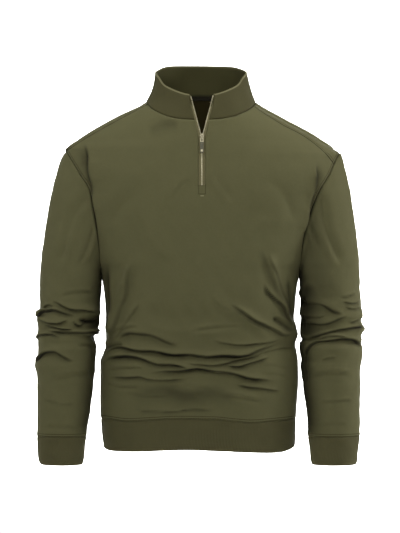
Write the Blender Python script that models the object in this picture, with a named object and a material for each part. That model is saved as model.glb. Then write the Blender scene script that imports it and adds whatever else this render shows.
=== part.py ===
# Half zip sweatshirt: hollow cloth walls in metres, +Z up, front toward -Y.
# Lengths in the tables are millimetres; the origin lies midway between the shoulders at neck level.
import math

import bmesh
import bpy
import numpy as np

MILLIMETRE = 0.001

# Cloth and seams
BODY_WALL = 2.0
BAND_WALL = 3.0
COLLAR_WALL = 3.0
TAPE_WALL = 1.2
SEAM_GAP = 0.3
SLEEVE_GAP = 0.39
TIP_TURN = 0.55
TIP_DROP = -0.4
TIP_REACH = 0.45
SHARP_ANGLE = 50.0

# Heights of the garment
HEM_SEAM = -639.0
HEM_BOTTOM = -699.0
HEM_RINGS = (HEM_SEAM - 0.5 * SEAM_GAP, -664.0, -686.0, HEM_BOTTOM)
HEM_STEPS = 48
HEM_DROP = 1.5
HEM_WAVE = 3.5
HEM_WAVE_START = 40.0
HEM_WAVE_RUN = 75.0
HEM_CORNER_LIFT = 6.0
HEM_CORNER_START = 165.0
HEM_CORNER_RUN = 30.0
ARMPIT = -344.0
LEFT_TIP = -90.0
RIGHT_TIP = -98.0
NECK_FRONT = -33.0
NECK_BACK = 14.0
NECK_SIDE = 8.0
LEFT_NECK_X = 106.0
RIGHT_NECK_X = 111.0
BACK_NECK_SWELL = 1.5
SETTLE_STEP = 6.0
SETTLE_ROUNDS = 40
FOLD_FADE = 0.22

# Zip opening
ZIP_CENTRE = 3.7
ZIP_BOTTOM_SHARE = 0.573
TAPE_REACH = 6.5
TAPE_NARROWING = 4.0
TEETH_CLEARANCE = 0.15
SPREAD_START = -70.0
SPREAD_SLOPE = 0.26
RIM_FRONT = 15.0

# Sleeves
SLEEVE_RING = -395.0
ELBOW_END = -540.0
CUFF_SEAM = -674.5
CUFF_BOTTOM = -732.0
CUFF_RINGS = (CUFF_SEAM - 0.5 * SEAM_GAP, CUFF_SEAM - 26.0, CUFF_BOTTOM + 10.0, CUFF_BOTTOM)
CUFF_STEPS = 20

# Grid counts
SHOULDER_STEPS = 8
FRONT_NECK_STEPS = 5
BACK_NECK_STEPS = 6
UPPER_SHARES = np.array([0.0, 0.06, 0.16, 0.28, 0.42, ZIP_BOTTOM_SHARE, 0.70, 0.81, 0.90, 0.96, 1.0])
WAIST_TOP = -444.0
WAIST_STEPS = 21
BELT_STEPS = 4
BACK_STEPS = 13
COLLAR_STEPS = 4
RING_ROWS = 4
SLEEVE_HEAD_STEPS = 9
ELBOW_STEPS = 15
FOREARM_STEPS = 6

TORSO_COLUMNS = ("height", "left", "right", "edge_depth", "front", "back", "roundness")
TORSO_ROWS = (
    (-705.0, 197.0, 190.5, 0.0, 119.0, 116.0, 2.5),
    (-680.0, 199.5, 194.0, 0.0, 121.0, 118.0, 2.5),
    (-645.0, 202.0, 195.2, 0.0, 123.0, 119.0, 2.5),
    (-603.0, 203.6, 198.0, 0.0, 127.0, 119.0, 2.5),
    (-560.0, 203.6, 200.7, 0.0, 128.0, 117.0, 2.5),
    (-525.0, 203.6, 200.0, 0.0, 128.0, 114.0, 2.5),
    (-504.0, 195.8, 197.2, 0.0, 126.0, 113.0, 2.5),
    (-488.0, 191.5, 194.3, 0.0, 125.0, 112.0, 2.5),
    (-467.0, 192.3, 200.0, 0.0, 125.0, 111.0, 2.5),
    (-449.0, 192.9, 194.6, 0.0, 125.0, 111.0, 2.5),
    (-436.0, 192.9, 191.6, 0.0, 125.0, 111.0, 2.5),
    (-398.0, 194.5, 194.8, 0.0, 127.0, 112.0, 2.5),
    (-344.0, 201.0, 203.0, 0.0, 128.0, 116.0, 2.5),
    (-322.0, 204.6, 206.0, 44.0, 128.0, 118.0, 2.5),
    (-270.0, 209.7, 213.4, 62.0, 127.0, 121.0, 2.5),
    (-217.0, 217.3, 227.5, 67.0, 125.0, 120.0, 2.5),
    (-176.0, 224.0, 243.0, 66.0, 122.0, 117.0, 2.45),
    (-141.0, 244.0, 263.5, 54.0, 118.0, 112.0, 2.3),
    (-112.0, 262.0, 277.0, 35.0, 113.0, 106.0, 2.1),
    (-98.0, 270.5, 285.0, 20.0, 111.0, 103.0, 2.0),
    (-90.0, 274.7, 277.5, 0.0, 110.0, 101.0, 1.95),
    (-69.7, 251.5, 250.1, 0.0, 107.0, 96.0, 1.8),
    (-45.0, 211.6, 207.5, 0.0, 102.0, 88.0, 1.8),
    (-28.7, 182.0, 176.5, 0.0, 97.0, 81.0, 1.85),
    (-12.3, 149.7, 146.2, 0.0, 88.0, 73.0, 1.9),
    (0.0, 123.0, 124.0, 0.0, 76.0, 65.0, 1.95),
    (8.0, 109.5, 112.5, 0.0, 64.0, 58.0, 2.0),
    (14.0, 103.0, 107.0, 0.0, 56.0, 53.0, 2.0),
)

SHOULDER_SEAM_COLUMNS = ("across", "height")
SHOULDER_SEAM_ROWS = ((106.0, 0.0), (150.0, -21.5), (195.0, -45.0), (238.0, -68.5), (276.0, -90.0))

NECKLINE_COLUMNS = ("share", "height")
NECKLINE_ROWS = ((0.11, -33.0), (0.37, -31.0), (0.6, -26.0), (0.785, -17.5), (0.925, -8.5), (1.0, 0.0))

RIM_COLUMNS = ("depth", "height")
RIM_ROWS = (
    (-86.0, 15.0),
    (-74.0, 27.0),
    (-57.0, 41.0),
    (-44.0, 56.0),
    (-31.0, 63.0),
    (-19.0, 67.0),
    (0.0, 72.0),
    (16.0, 77.0),
    (30.0, 81.0),
    (50.0, 83.5),
)
RIM_CENTRE_X = 2.6
RIM_CENTRE_Y = -19.0
RIM_HALF_WIDTH = 94.0
RIM_HALF_DEPTH = 66.0
NECK_HALF_WIDTH = 108.0
NECK_HALF_DEPTH = 72.0
ZIP_ZONE = 30.0
COLLAR_BOW = 0.8

SLEEVE_COLUMNS = ("height", "left_outer", "left_inner", "right_outer", "right_inner", "half_depth", "centre")
SLEEVE_ROWS = (
    (-736.0, 321.0, 241.0, 314.5, 229.5, 47.0, -42.0),
    (-722.0, 329.0, 236.5, 321.0, 224.5, 50.0, -40.0),
    (-701.0, 331.1, 234.4, 323.0, 223.0, 51.0, -38.0),
    (-674.5, 331.7, 231.9, 325.1, 220.3, 54.0, -35.0),
    (-619.0, 332.3, 223.5, 326.1, 216.4, 59.0, -28.0),
    (-570.0, 333.2, 218.0, 328.0, 210.8, 62.0, -22.0),
    (-550.0, 333.7, 215.8, 328.3, 208.3, 63.0, -20.0),
    (-530.0, 337.2, 213.5, 329.0, 207.3, 65.0, -18.0),
    (-512.0, 333.1, 211.8, 330.9, 207.0, 63.0, -16.0),
    (-496.0, 332.1, 210.8, 333.0, 203.4, 66.0, -14.0),
    (-484.0, 333.0, 211.6, 330.0, 205.0, 64.0, -12.0),
    (-471.0, 334.8, 216.0, 328.0, 206.4, 66.0, -11.0),
    (-456.0, 331.5, 207.0, 336.0, 205.2, 64.0, -10.0),
    (-438.0, 334.0, 205.2, 328.8, 205.2, 67.0, -9.0),
    (-422.0, 337.6, 205.0, 332.7, 205.2, 65.0, -8.0),
    (-408.0, 329.0, 204.8, 331.0, 205.2, 67.0, -7.0),
    (-381.0, 328.8, 203.6, 328.0, 204.8, 69.0, -5.0),
    (-348.0, 327.4, 202.5, 327.4, 203.5, 70.0, -3.0),
    (-324.0, 325.5, 202.0, 326.0, 203.0, 70.0, 0.0),
    (-291.0, 322.1, 202.0, 323.7, 203.0, 70.0, 0.0),
    (-258.0, 317.8, 202.0, 320.2, 203.0, 70.0, 0.0),
    (-225.0, 312.2, 202.0, 315.7, 203.0, 70.0, 0.0),
    (-192.0, 305.7, 202.0, 310.4, 203.0, 70.0, 0.0),
    (-160.0, 298.7, 202.0, 304.2, 203.0, 70.0, 0.0),
    (-127.0, 290.1, 202.0, 297.0, 203.0, 70.0, 0.0),
    (-102.0, 280.9, 202.0, 288.2, 203.0, 70.0, 0.0),
    (-90.0, 274.7, 202.0, 280.0, 203.0, 70.0, 0.0),
)

# Folds run from start to end along a bowed line; depth is negative for a ridge.
FOLD_COLUMNS = ("start_x", "start_z", "end_x", "end_z", "bow", "depth", "width")
FRONT_FOLDS = (
    (-202.0, -520.0, -49.0, -506.0, 13.0, 6.0, 9.0),
    (-108.0, -502.0, 169.0, -485.0, -18.0, 6.0, 9.0),
    (-200.0, -529.0, -35.0, -531.0, 15.0, 5.0, 7.0),
    (-106.0, -548.0, 155.0, -563.0, 16.0, 4.5, 8.0),
    (53.0, -530.0, 142.0, -512.0, -5.0, 4.0, 7.0),
    (20.0, -476.0, 175.0, -472.0, -13.0, 5.0, 8.0),
    (-167.0, -484.0, -39.0, -490.0, 20.0, 4.5, 8.0),
    (-186.0, -556.0, -20.0, -556.0, -4.0, 3.5, 8.0),
    (71.0, -568.0, 167.0, -582.0, -4.0, 3.5, 8.0),
    (-137.0, -618.0, 55.0, -624.0, -3.0, 2.5, 8.0),
    (-184.0, -487.0, -135.0, -315.0, 8.0, -4.0, 11.0),
    (183.0, -454.0, 126.0, -320.0, -6.0, 4.5, 10.0),
    (182.0, -471.0, 57.0, -401.0, -6.0, 4.0, 9.0),
    (-233.0, -89.0, -222.0, -171.0, 3.0, 3.5, 9.0),
    (235.0, -126.0, 225.0, -214.0, -3.0, 3.5, 9.0),
)
BACK_FOLDS = (
    (-180.0, -520.0, 40.0, -512.0, 14.0, 5.0, 16.0),
    (-60.0, -560.0, 180.0, -548.0, -12.0, 5.0, 16.0),
    (-150.0, -470.0, 120.0, -476.0, 10.0, 4.0, 18.0),
    (150.0, -450.0, 90.0, -330.0, 6.0, 4.0, 18.0),
    (-160.0, -440.0, -100.0, -320.0, -6.0, 4.0, 18.0),
)
# On a sleeve x is the way round from the outer side, in degrees, front first.
ROUND_SCALE = 1.1
LEFT_FOLDS = (
    (14.0, -429.0, 116.0, -432.0, 10.0, 4.5, 7.0),
    (0.0, -437.0, 96.0, -441.0, -7.0, 4.0, 7.0),
    (104.0, -423.0, 190.0, -426.0, -3.0, 7.0, 9.0),
    (44.0, -452.0, 98.0, -459.0, 0.0, 3.0, 7.0),
    (44.0, -461.0, 160.0, -469.0, -2.0, 4.5, 7.0),
    (0.0, -471.0, 84.0, -474.0, 5.0, 3.5, 7.0),
    (0.0, -521.0, 108.0, -524.0, 18.0, 4.5, 8.0),
    (20.0, -418.0, 62.0, -410.0, 3.0, 3.0, 7.0),
    (190.0, -440.0, 300.0, -430.0, 8.0, 5.0, 10.0),
    (200.0, -480.0, 330.0, -470.0, -8.0, 5.0, 10.0),
    (210.0, -515.0, 310.0, -525.0, 6.0, 4.0, 10.0),
)
RIGHT_FOLDS = (
    (4.0, -495.0, 138.0, -494.0, 16.0, 5.0, 7.0),
    (10.0, -453.0, 130.0, -481.0, -2.0, 4.5, 7.0),
    (54.0, -428.0, 124.0, -447.0, -6.0, 4.0, 8.0),
    (74.0, -419.0, 144.0, -398.0, 0.0, 5.0, 12.0),
    (6.0, -402.0, 62.0, -395.0, 2.0, 3.0, 8.0),
    (8.0, -424.0, 56.0, -412.0, 2.0, 3.0, 8.0),
    (20.0, -516.0, 110.0, -520.0, 5.0, 3.0, 9.0),
    (190.0, -435.0, 310.0, -442.0, 8.0, 5.0, 10.0),
    (200.0, -478.0, 320.0, -486.0, -8.0, 5.0, 10.0),
    (200.0, -520.0, 300.0, -512.0, 6.0, 4.0, 10.0),
)

# Slider and pull, measured from the slider's middle: across, along the zip, out from the cloth
SLIDER_HEIGHT = -70.0
SLIDER_HALF_LENGTH = 9.0
OVERLAP = 0.4
PLATE_FRONT = (0.1, 1.5)
PLATE_BACK = (-3.8, -2.6)
PLATE_OUTLINE = ((-2.4, -9.5), (2.4, -9.5), (3.4, -7.5), (3.4, 1.0), (4.4, 4.5), (4.0, 8.2), (2.2, 9.5),
                 (-2.2, 9.5), (-4.0, 8.2), (-4.4, 4.5), (-3.4, 1.0), (-3.4, -7.5))
POST_HALF_WIDTH = 1.0
POST_SPAN = (5.6, 9.0)
ARCH_HALF_WIDTH = 1.0
ARCH_SPAN = (-5.2, 6.2)
ARCH_OPENING = (-3.5, 4.5)
ARCH_TOP = 4.7
ARCH_UNDERSIDE = 3.4
ARCH_CORNER = 1.0
PIN_ALONG = -2.2
PIN_OUT = 2.35
PIN_HALF = 0.6
TAB_HALF_WIDTH = 3.6
TAB_HOLE_HALF_WIDTH = 1.6
TAB_HOLE_END = 5.4
TAB_LENGTH = 29.0
TAB_HALF_THICKNESS = 0.6
TAB_CORNER = 1.6
TAB_SHOULDER = 1.0
HOLE_RUN_OUT = 1.0

BODY_OLIVE = "58543A"
BAND_OLIVE = "4C4830"
COLLAR_OLIVE = "55523A"
TAPE_OLIVE = "4E4B33"
ZIP_METAL = "A8A284"
PULL_OLIVE = "3E3C28"


def linear_colour(code):
    channels = [int(code[i:i + 2], 16) / 255.0 for i in (0, 2, 4)]
    return [c / 12.92 if c <= 0.04045 else ((c + 0.055) / 1.055) ** 2.4 for c in channels] + [1.0]


def make_material(name, code, roughness, metallic):
    material = bpy.data.materials.new(name)
    material.use_nodes = True
    shader = material.node_tree.nodes["Principled BSDF"]
    shader.inputs["Base Color"].default_value = linear_colour(code)
    shader.inputs["Roughness"].default_value = roughness
    shader.inputs["Metallic"].default_value = metallic
    material.diffuse_color = linear_colour(code)
    return material


def table_column(rows, columns, name):
    return np.array([row[columns.index(name)] for row in rows])


def smooth_curve(knots, values, at):
    """Cubic through the rows of a table that never overshoots between two rows."""
    steps = np.diff(knots)
    slopes = np.diff(values) / steps
    same_way = slopes[1:] * slopes[:-1] > 0.0
    safe_sum = np.where(same_way, slopes[1:] + slopes[:-1], 1.0)
    inner = np.where(same_way, 2.0 * slopes[1:] * slopes[:-1] / safe_sum, 0.0)
    tangents = np.concatenate([slopes[:1], inner, slopes[-1:]])
    place = np.clip(at, knots[0], knots[-1])
    cell = np.clip(np.searchsorted(knots, place, side="right") - 1, 0, len(steps) - 1)
    step = steps[cell]
    t = (place - knots[cell]) / step
    start = (2.0 * t ** 3 - 3.0 * t ** 2 + 1.0) * values[cell]
    start_pull = (t ** 3 - 2.0 * t ** 2 + t) * step * tangents[cell]
    end = (3.0 * t ** 2 - 2.0 * t ** 3) * values[cell + 1]
    end_pull = (t ** 3 - t ** 2) * step * tangents[cell + 1]
    return start + start_pull + end + end_pull


def torso(name, height):
    knots = table_column(TORSO_ROWS, TORSO_COLUMNS, "height")
    return smooth_curve(knots, table_column(TORSO_ROWS, TORSO_COLUMNS, name), height)


def sleeve(name, height):
    knots = table_column(SLEEVE_ROWS, SLEEVE_COLUMNS, "height")
    return smooth_curve(knots, table_column(SLEEVE_ROWS, SLEEVE_COLUMNS, name), height)


def half_width(side, height):
    """Ring half width that puts the table's edge point on the ring."""
    power = torso("roundness", height)
    share = (torso("edge_depth", height) / torso("front", height)) ** power
    return torso("left" if side < 0 else "right", height) / (1.0 - share) ** (1.0 / power)


def outside(points):
    """Below zero within the torso, above zero outside it."""
    x, y, z = points[..., 0], points[..., 1], points[..., 2]
    power = torso("roundness", z)
    width = np.where(x < 0.0, half_width(-1, z), half_width(1, z))
    depth = np.where(y < 0.0, torso("front", z), torso("back", z))
    return (np.abs(x) / width) ** power + (np.abs(y) / depth) ** power - 1.0


def settle(points):
    """Moves each point along the torso's own slope until it lies on the torso."""
    placed = points.copy()
    for _ in range(SETTLE_ROUNDS):
        slope = outside_slope(placed)
        size = np.linalg.norm(slope, axis=-1)
        travel = np.clip(outside(placed) / np.maximum(size, 1e-6), -SETTLE_STEP, SETTLE_STEP)
        placed = placed - slope / np.maximum(size, 1e-6)[..., None] * travel[..., None]
    return placed


def outside_slope(points):
    step = 0.4
    slope = np.zeros_like(points)
    for axis in range(3):
        move = np.zeros(3)
        move[axis] = step
        slope[..., axis] = (outside(points + move) - outside(points - move)) / (2.0 * step)
    return slope


def torso_normal(points):
    return unit(outside_slope(points))


def front_point(x, height):
    """Point of the torso's front straight behind a place in the front view."""
    side = -1 if x < 0.0 else 1
    power = torso("roundness", height)
    ratio = min(abs(x) / half_width(side, height), 1.0)
    return np.array([x, -torso("front", height) * (1.0 - ratio ** power) ** (1.0 / power), height])


def ring_point(side, angle, height):
    """Point at an angle from the side: front for a positive angle, back for a negative one."""
    power = torso("roundness", height)
    spread = (abs(math.cos(angle)) ** power + abs(math.sin(angle)) ** power) ** (-1.0 / power)
    depth = torso("front" if angle >= 0.0 else "back", height)
    x = side * half_width(side, height) * math.cos(angle) * spread
    return np.array([x, -depth * math.sin(angle) * spread, height])


def edge_point(side, height, back):
    """Point of the side seam or, above the armpit, of the armhole's edge."""
    x = side * torso("left" if side < 0 else "right", height)
    depth = torso("edge_depth", height)
    if back:
        return np.array([x, depth / torso("front", height) * torso("back", height), height])
    return np.array([x, -depth, height])


def teeth_offset(height):
    return TEETH_CLEARANCE + SPREAD_SLOPE * max(0.0, height - SPREAD_START)


def cloth_offset(height):
    """Distance from the zip's middle to the cloth's edge."""
    narrowing = np.clip((height - SPREAD_START) / (RIM_FRONT - SPREAD_START), 0.0, 1.0)
    return teeth_offset(height) + TAPE_REACH - TAPE_NARROWING * narrowing


def fold_depth(folds, x, z):
    """Sum of soft troughs and ridges along bowed lines, fading at both ends."""
    total = np.zeros_like(x)
    for row in folds:
        fold = dict(zip(FOLD_COLUMNS, row))
        run_x = fold["end_x"] - fold["start_x"]
        run_z = fold["end_z"] - fold["start_z"]
        length = math.hypot(run_x, run_z)
        along = ((x - fold["start_x"]) * run_x + (z - fold["start_z"]) * run_z) / length ** 2
        away = ((z - fold["start_z"]) * run_x - (x - fold["start_x"]) * run_z) / length
        inside = np.clip(along, 0.0, 1.0)
        away = away - fold["bow"] * 4.0 * inside * (1.0 - inside) * (1.0 if run_x >= 0.0 else -1.0)
        ends = np.clip(np.minimum(along, 1.0 - along) / FOLD_FADE, 0.0, 1.0)
        ends = ends * ends * (3.0 - 2.0 * ends)
        total = total + fold["depth"] * ends * np.exp(-(away / fold["width"]) ** 2)
    return total


def neck_x(side):
    return LEFT_NECK_X if side < 0 else RIGHT_NECK_X


def shoulder_points(side):
    tip = LEFT_TIP if side < 0 else RIGHT_TIP
    tip_x = float(torso("left" if side < 0 else "right", tip))
    seam_x = table_column(SHOULDER_SEAM_ROWS, SHOULDER_SEAM_COLUMNS, "across").copy()
    seam_z = table_column(SHOULDER_SEAM_ROWS, SHOULDER_SEAM_COLUMNS, "height").copy()
    seam_x[0] = neck_x(side)
    seam_x[-1] = tip_x
    seam_z[-1] = tip
    points = []
    for x in np.linspace(tip_x, neck_x(side), SHOULDER_STEPS + 1):
        points.append(front_point(side * x, float(smooth_curve(seam_x, seam_z, x))))
    points[0] = np.array([side * tip_x, 0.0, tip])
    return points


def front_neck_points(side):
    end = abs(ZIP_CENTRE + side * cloth_offset(NECK_FRONT))
    start = neck_x(side)
    knots = table_column(NECKLINE_ROWS, NECKLINE_COLUMNS, "share")
    heights = table_column(NECKLINE_ROWS, NECKLINE_COLUMNS, "height")
    points = []
    for step in range(1, FRONT_NECK_STEPS + 1):
        x = start + (end - start) * (step / FRONT_NECK_STEPS) ** 1.5
        points.append(front_point(side * x, float(smooth_curve(knots, heights, x / start))))
    return points


def back_neck_points(side):
    point = front_point(side * neck_x(side), 0.0)
    start = math.atan2(-point[1] / torso("front", 0.0), neck_x(side) / half_width(side, 0.0))
    knots = np.array([-math.pi / 2.0, -math.pi / 4.0, 0.0, start])
    heights = np.array([NECK_BACK, 0.5 * (NECK_BACK + NECK_SIDE) + BACK_NECK_SWELL, NECK_SIDE, 0.0])
    points = []
    for step in range(1, BACK_NECK_STEPS + 1):
        angle = start - (start + math.pi / 2.0) * step / BACK_NECK_STEPS
        points.append(ring_point(side, angle, float(smooth_curve(knots, heights, angle))))
    points[-1][0] = 0.0
    return points


def low_heights(back):
    if back:
        return np.linspace(HEM_SEAM, ARMPIT, BACK_STEPS + 1)
    waist = np.linspace(HEM_SEAM, WAIST_TOP, WAIST_STEPS + 1)
    return np.concatenate([waist, np.linspace(WAIST_TOP, ARMPIT, BELT_STEPS + 1)[1:]])


def panel_half(side, back):
    """Grid of one half of the front or back: rows upward, columns from the side to the middle."""
    tip = LEFT_TIP if side < 0 else RIGHT_TIP
    low = low_heights(back)
    edge = [edge_point(side, h, back) for h in low]
    edge += [edge_point(side, ARMPIT + s * (tip - ARMPIT), back) for s in UPPER_SHARES[1:]]
    top = shoulder_points(side) + (back_neck_points(side) if back else front_neck_points(side))
    edge[-1] = top[0]
    if back:
        middle_heights = list(low) + [ARMPIT + s * (NECK_BACK - ARMPIT) for s in UPPER_SHARES[1:]]
        middle = [ring_point(side, -math.pi / 2.0, h) for h in middle_heights]
    else:
        middle_heights = list(low) + [ARMPIT + s * (NECK_FRONT - ARMPIT) for s in UPPER_SHARES[1:]]
        middle = [front_point(ZIP_CENTRE + side * cloth_offset(h), h) for h in middle_heights]
    middle[-1] = top[-1]
    steps = len(top) - 1
    share = np.linspace(0.0, 1.0, steps + 1)
    grid = []
    for start, end in zip(edge, middle):
        first, last = ring_angle(start), ring_angle(end)
        if back:
            first, last = -abs(first), -math.pi / 2.0
        heights = start[2] + (end[2] - start[2]) * share
        grid.append([ring_point(side, first + (last - first) * s, h) for s, h in zip(share, heights)])
    grid = np.array(grid)
    edge, middle, top = (np.array(part) for part in (edge, middle, top))
    share = share[:, None]
    base = len(low) - 1 + RING_ROWS
    base_bulge = grid[base] - (edge[base] * (1.0 - share) + middle[base] * share)
    top_bulge = top - (top[0] * (1.0 - share) + top[-1] * share)
    for row in range(base + 1, len(grid)):
        climb = (UPPER_SHARES[row - len(low) + 1] - UPPER_SHARES[RING_ROWS]) / (1.0 - UPPER_SHARES[RING_ROWS])
        grid[row] = edge[row] * (1.0 - share) + middle[row] * share
        grid[row] += base_bulge * (1.0 - climb) + top_bulge * climb ** 1.5
    settled = settle(grid)
    settled[:, 0], settled[:, -1], settled[-1] = edge, middle, top
    return settled


def ring_angle(point):
    """Angle from the side at which a torso point lies on its ring."""
    side = -1 if point[0] < 0.0 else 1
    depth = torso("front" if point[1] <= 0.0 else "back", point[2])
    return math.atan2(-point[1] / depth, abs(point[0]) / half_width(side, point[2]))


def cloth_faces(rows, columns, closed=False):
    span = columns if closed else columns - 1
    faces = []
    for i in range(rows - 1):
        for j in range(span):
            k = (j + 1) % columns
            faces.append((i * columns + j, i * columns + k, (i + 1) * columns + k, (i + 1) * columns + j))
    return faces


def grid_normals(points, faces, inside):
    """Corner normals of a quad sheet, turned away from the points named inside."""
    quads = np.array(faces)
    across = points[quads[:, 2]] - points[quads[:, 0]]
    along = points[quads[:, 3]] - points[quads[:, 1]]
    turned = np.cross(across, along)
    normals = np.zeros_like(points)
    for corner in range(4):
        np.add.at(normals, quads[:, corner], turned)
    normals = normals / np.maximum(np.linalg.norm(normals, axis=1, keepdims=True), 1e-9)
    if np.sum(normals * (points - inside)) < 0.0:
        normals = -normals
    return normals


def make_cloth(name, points, faces, normals, wall, material):
    """Closes a quad sheet into a wall of even thickness on its inner side."""
    count = len(points)
    corners = np.vstack([points, points - normals * wall]) * MILLIMETRE
    seen = {}
    for face in faces:
        for a, b in zip(face, face[1:] + face[:1]):
            seen[(a, b)] = True
    solid = list(faces) + [tuple(v + count for v in reversed(face)) for face in faces]
    for a, b in seen:
        if (b, a) not in seen:
            solid.append((b, a, a + count, b + count))
    mesh = bpy.data.meshes.new(name)
    mesh.from_pydata(corners.tolist(), [], solid)
    finish_object(name, mesh, material)


def finish_object(name, mesh, material, origin=None):
    shape = bmesh.new()
    shape.from_mesh(mesh)
    if origin is not None:
        bmesh.ops.translate(shape, verts=shape.verts, vec=[-value for value in origin])
    bmesh.ops.recalc_face_normals(shape, faces=shape.faces)
    if shape.calc_volume(signed=True) < 0.0:
        bmesh.ops.reverse_faces(shape, faces=shape.faces)
    shape.to_mesh(mesh)
    shape.free()
    mesh.materials.append(material)
    mesh.shade_smooth()
    mesh.set_sharp_from_angle(angle=math.radians(SHARP_ANGLE))
    item = bpy.data.objects.new(name, mesh)
    if origin is not None:
        item.location = origin
    bpy.context.scene.collection.objects.link(item)
    return item


def draw_back(edge, inward, amount):
    """Moves edge points toward the next line of points by a fixed distance."""
    way = inward - edge
    return edge + way / np.linalg.norm(way, axis=-1, keepdims=True) * amount


def unit(vectors):
    return vectors / np.linalg.norm(vectors, axis=-1, keepdims=True)


def folded(grid, folds):
    depth = fold_depth(folds, grid[..., 0], grid[..., 2])
    return grid - torso_normal(grid) * depth[..., None]


def seam_edges(grid, raw, low_count, side_y):
    """Leaves the seam gap along a half panel's hem, side, armhole, shoulder and neck edges."""
    half_gap = 0.5 * SEAM_GAP
    result = grid.copy()
    result[low_count:, 0] = draw_back(raw[low_count:, 0], raw[low_count:, 1], half_gap)
    result[-1, 1:] = draw_back(raw[-1, 1:], raw[-2, 1:], half_gap)
    result[-1, 0] = draw_back(result[-1, 0], raw[-2, 0], half_gap)
    result[:low_count, 0, 1] = side_y
    result[0, :, 2] = HEM_SEAM + half_gap
    return result


def build_back(material):
    halves = []
    for side in (-1, 1):
        raw = panel_half(side, True)
        halves.append((raw, seam_edges(folded(raw, BACK_FOLDS), raw, BACK_STEPS + 1, 0.5 * SEAM_GAP)))
    raw = np.concatenate([halves[0][0], halves[1][0][:, -2::-1]], axis=1)
    grid = np.concatenate([halves[0][1], halves[1][1][:, -2::-1]], axis=1)
    rows, columns = grid.shape[:2]
    points = grid.reshape(-1, 3)
    faces = cloth_faces(rows, columns)
    inside = points * np.array([0.0, 0.0, 1.0]) - np.array([0.0, 0.0, 60.0])
    normals = grid_normals(points, faces, inside).reshape(rows, columns, 3)
    exact = torso_normal(raw)
    mitre_edges(normals, exact, BACK_STEPS + 1, (0, columns - 1))
    make_cloth("back", points, faces, unit(normals).reshape(-1, 3), BODY_WALL, material)


def mitre_edges(normals, exact, low_count, side_columns):
    """Turns the wall ends so that two joined pieces end in faces that run side by side."""
    normals[-1] = exact[-1]
    normals[0, :, 2] = 0.0
    for column in side_columns:
        normals[low_count:, column] = exact[low_count:, column]
        normals[:low_count, column, 1] = 0.0
        outward = -1.0 if column == side_columns[0] else 1.0
        turn = np.array([outward, 0.0, TIP_DROP]) * TIP_TURN
        for k, share in enumerate(UPPER_SHARES[1:]):
            normals[low_count + k, column] += ridge_share(share) * turn


def ridge_share(share):
    """One at the shoulder tip, nothing halfway down the armhole."""
    return float(np.clip((share - 1.0 + TIP_REACH) / TIP_REACH, 0.0, 1.0)) ** 2


def build_front(material):
    low_count = WAIST_STEPS + BELT_STEPS + 1
    halves = []
    for side in (-1, 1):
        raw = panel_half(side, False)
        halves.append((raw, seam_edges(folded(raw, FRONT_FOLDS), raw, low_count, -0.5 * SEAM_GAP)))
    middle_raw = np.array([front_point(ZIP_CENTRE, p[2]) for p in halves[0][0][:, -1]])[:, None]
    middle = folded(middle_raw, FRONT_FOLDS)
    middle[0, :, 2] = HEM_SEAM + 0.5 * SEAM_GAP
    raw = np.concatenate([halves[0][0], middle_raw, halves[1][0][:, ::-1]], axis=1)
    grid = np.concatenate([halves[0][1], middle, halves[1][1][:, ::-1]], axis=1)
    rows, columns = grid.shape[:2]
    points = grid.reshape(-1, 3)
    centre = columns // 2
    slit = low_count - 1 + list(UPPER_SHARES).index(ZIP_BOTTOM_SHARE)
    faces = []
    for face in cloth_faces(rows, columns):
        row, column = divmod(face[0], columns)
        if row < slit or column not in (centre - 1, centre):
            faces.append(face)
    inside = points * np.array([0.0, 0.0, 1.0]) - np.array([0.0, 0.0, 60.0])
    normals = grid_normals(points, faces, inside).reshape(rows, columns, 3)
    mitre_edges(normals, torso_normal(raw), low_count, (0, columns - 1))
    normals[slit:, centre - 1, 0] = 0.0
    normals[slit:, centre + 1, 0] = 0.0
    normals[slit, centre, 0] = 0.0
    points, faces, normals = drop_unused(points, faces, normals.reshape(-1, 3))
    make_cloth("front", points, faces, unit(normals), BODY_WALL, material)
    return halves


def drop_unused(points, faces, normals):
    used = sorted({v for face in faces for v in face})
    place = {v: i for i, v in enumerate(used)}
    return points[used], [tuple(place[v] for v in face) for face in faces], normals[used]


def sleeve_ring(side, height, angles):
    """Level oval of a sleeve at one height, outer side first and then the front."""
    name = "left" if side < 0 else "right"
    outer = sleeve(name + "_outer", height)
    inner = sleeve(name + "_inner", height)
    x = side * (0.5 * (outer + inner) + 0.5 * (outer - inner) * np.cos(angles))
    y = sleeve("centre", height) - sleeve("half_depth", height) * np.sin(angles)
    return np.stack([x, y, np.full_like(angles, height)], axis=1)


def armhole_loop(side):
    tip = LEFT_TIP if side < 0 else RIGHT_TIP
    heights = [ARMPIT + s * (tip - ARMPIT) for s in UPPER_SHARES]
    front = [edge_point(side, h, False) for h in heights[::-1]]
    back = [edge_point(side, h, True) for h in heights[1:-1]]
    front[0] = shoulder_points(side)[0]
    return np.array(front + back)


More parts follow.
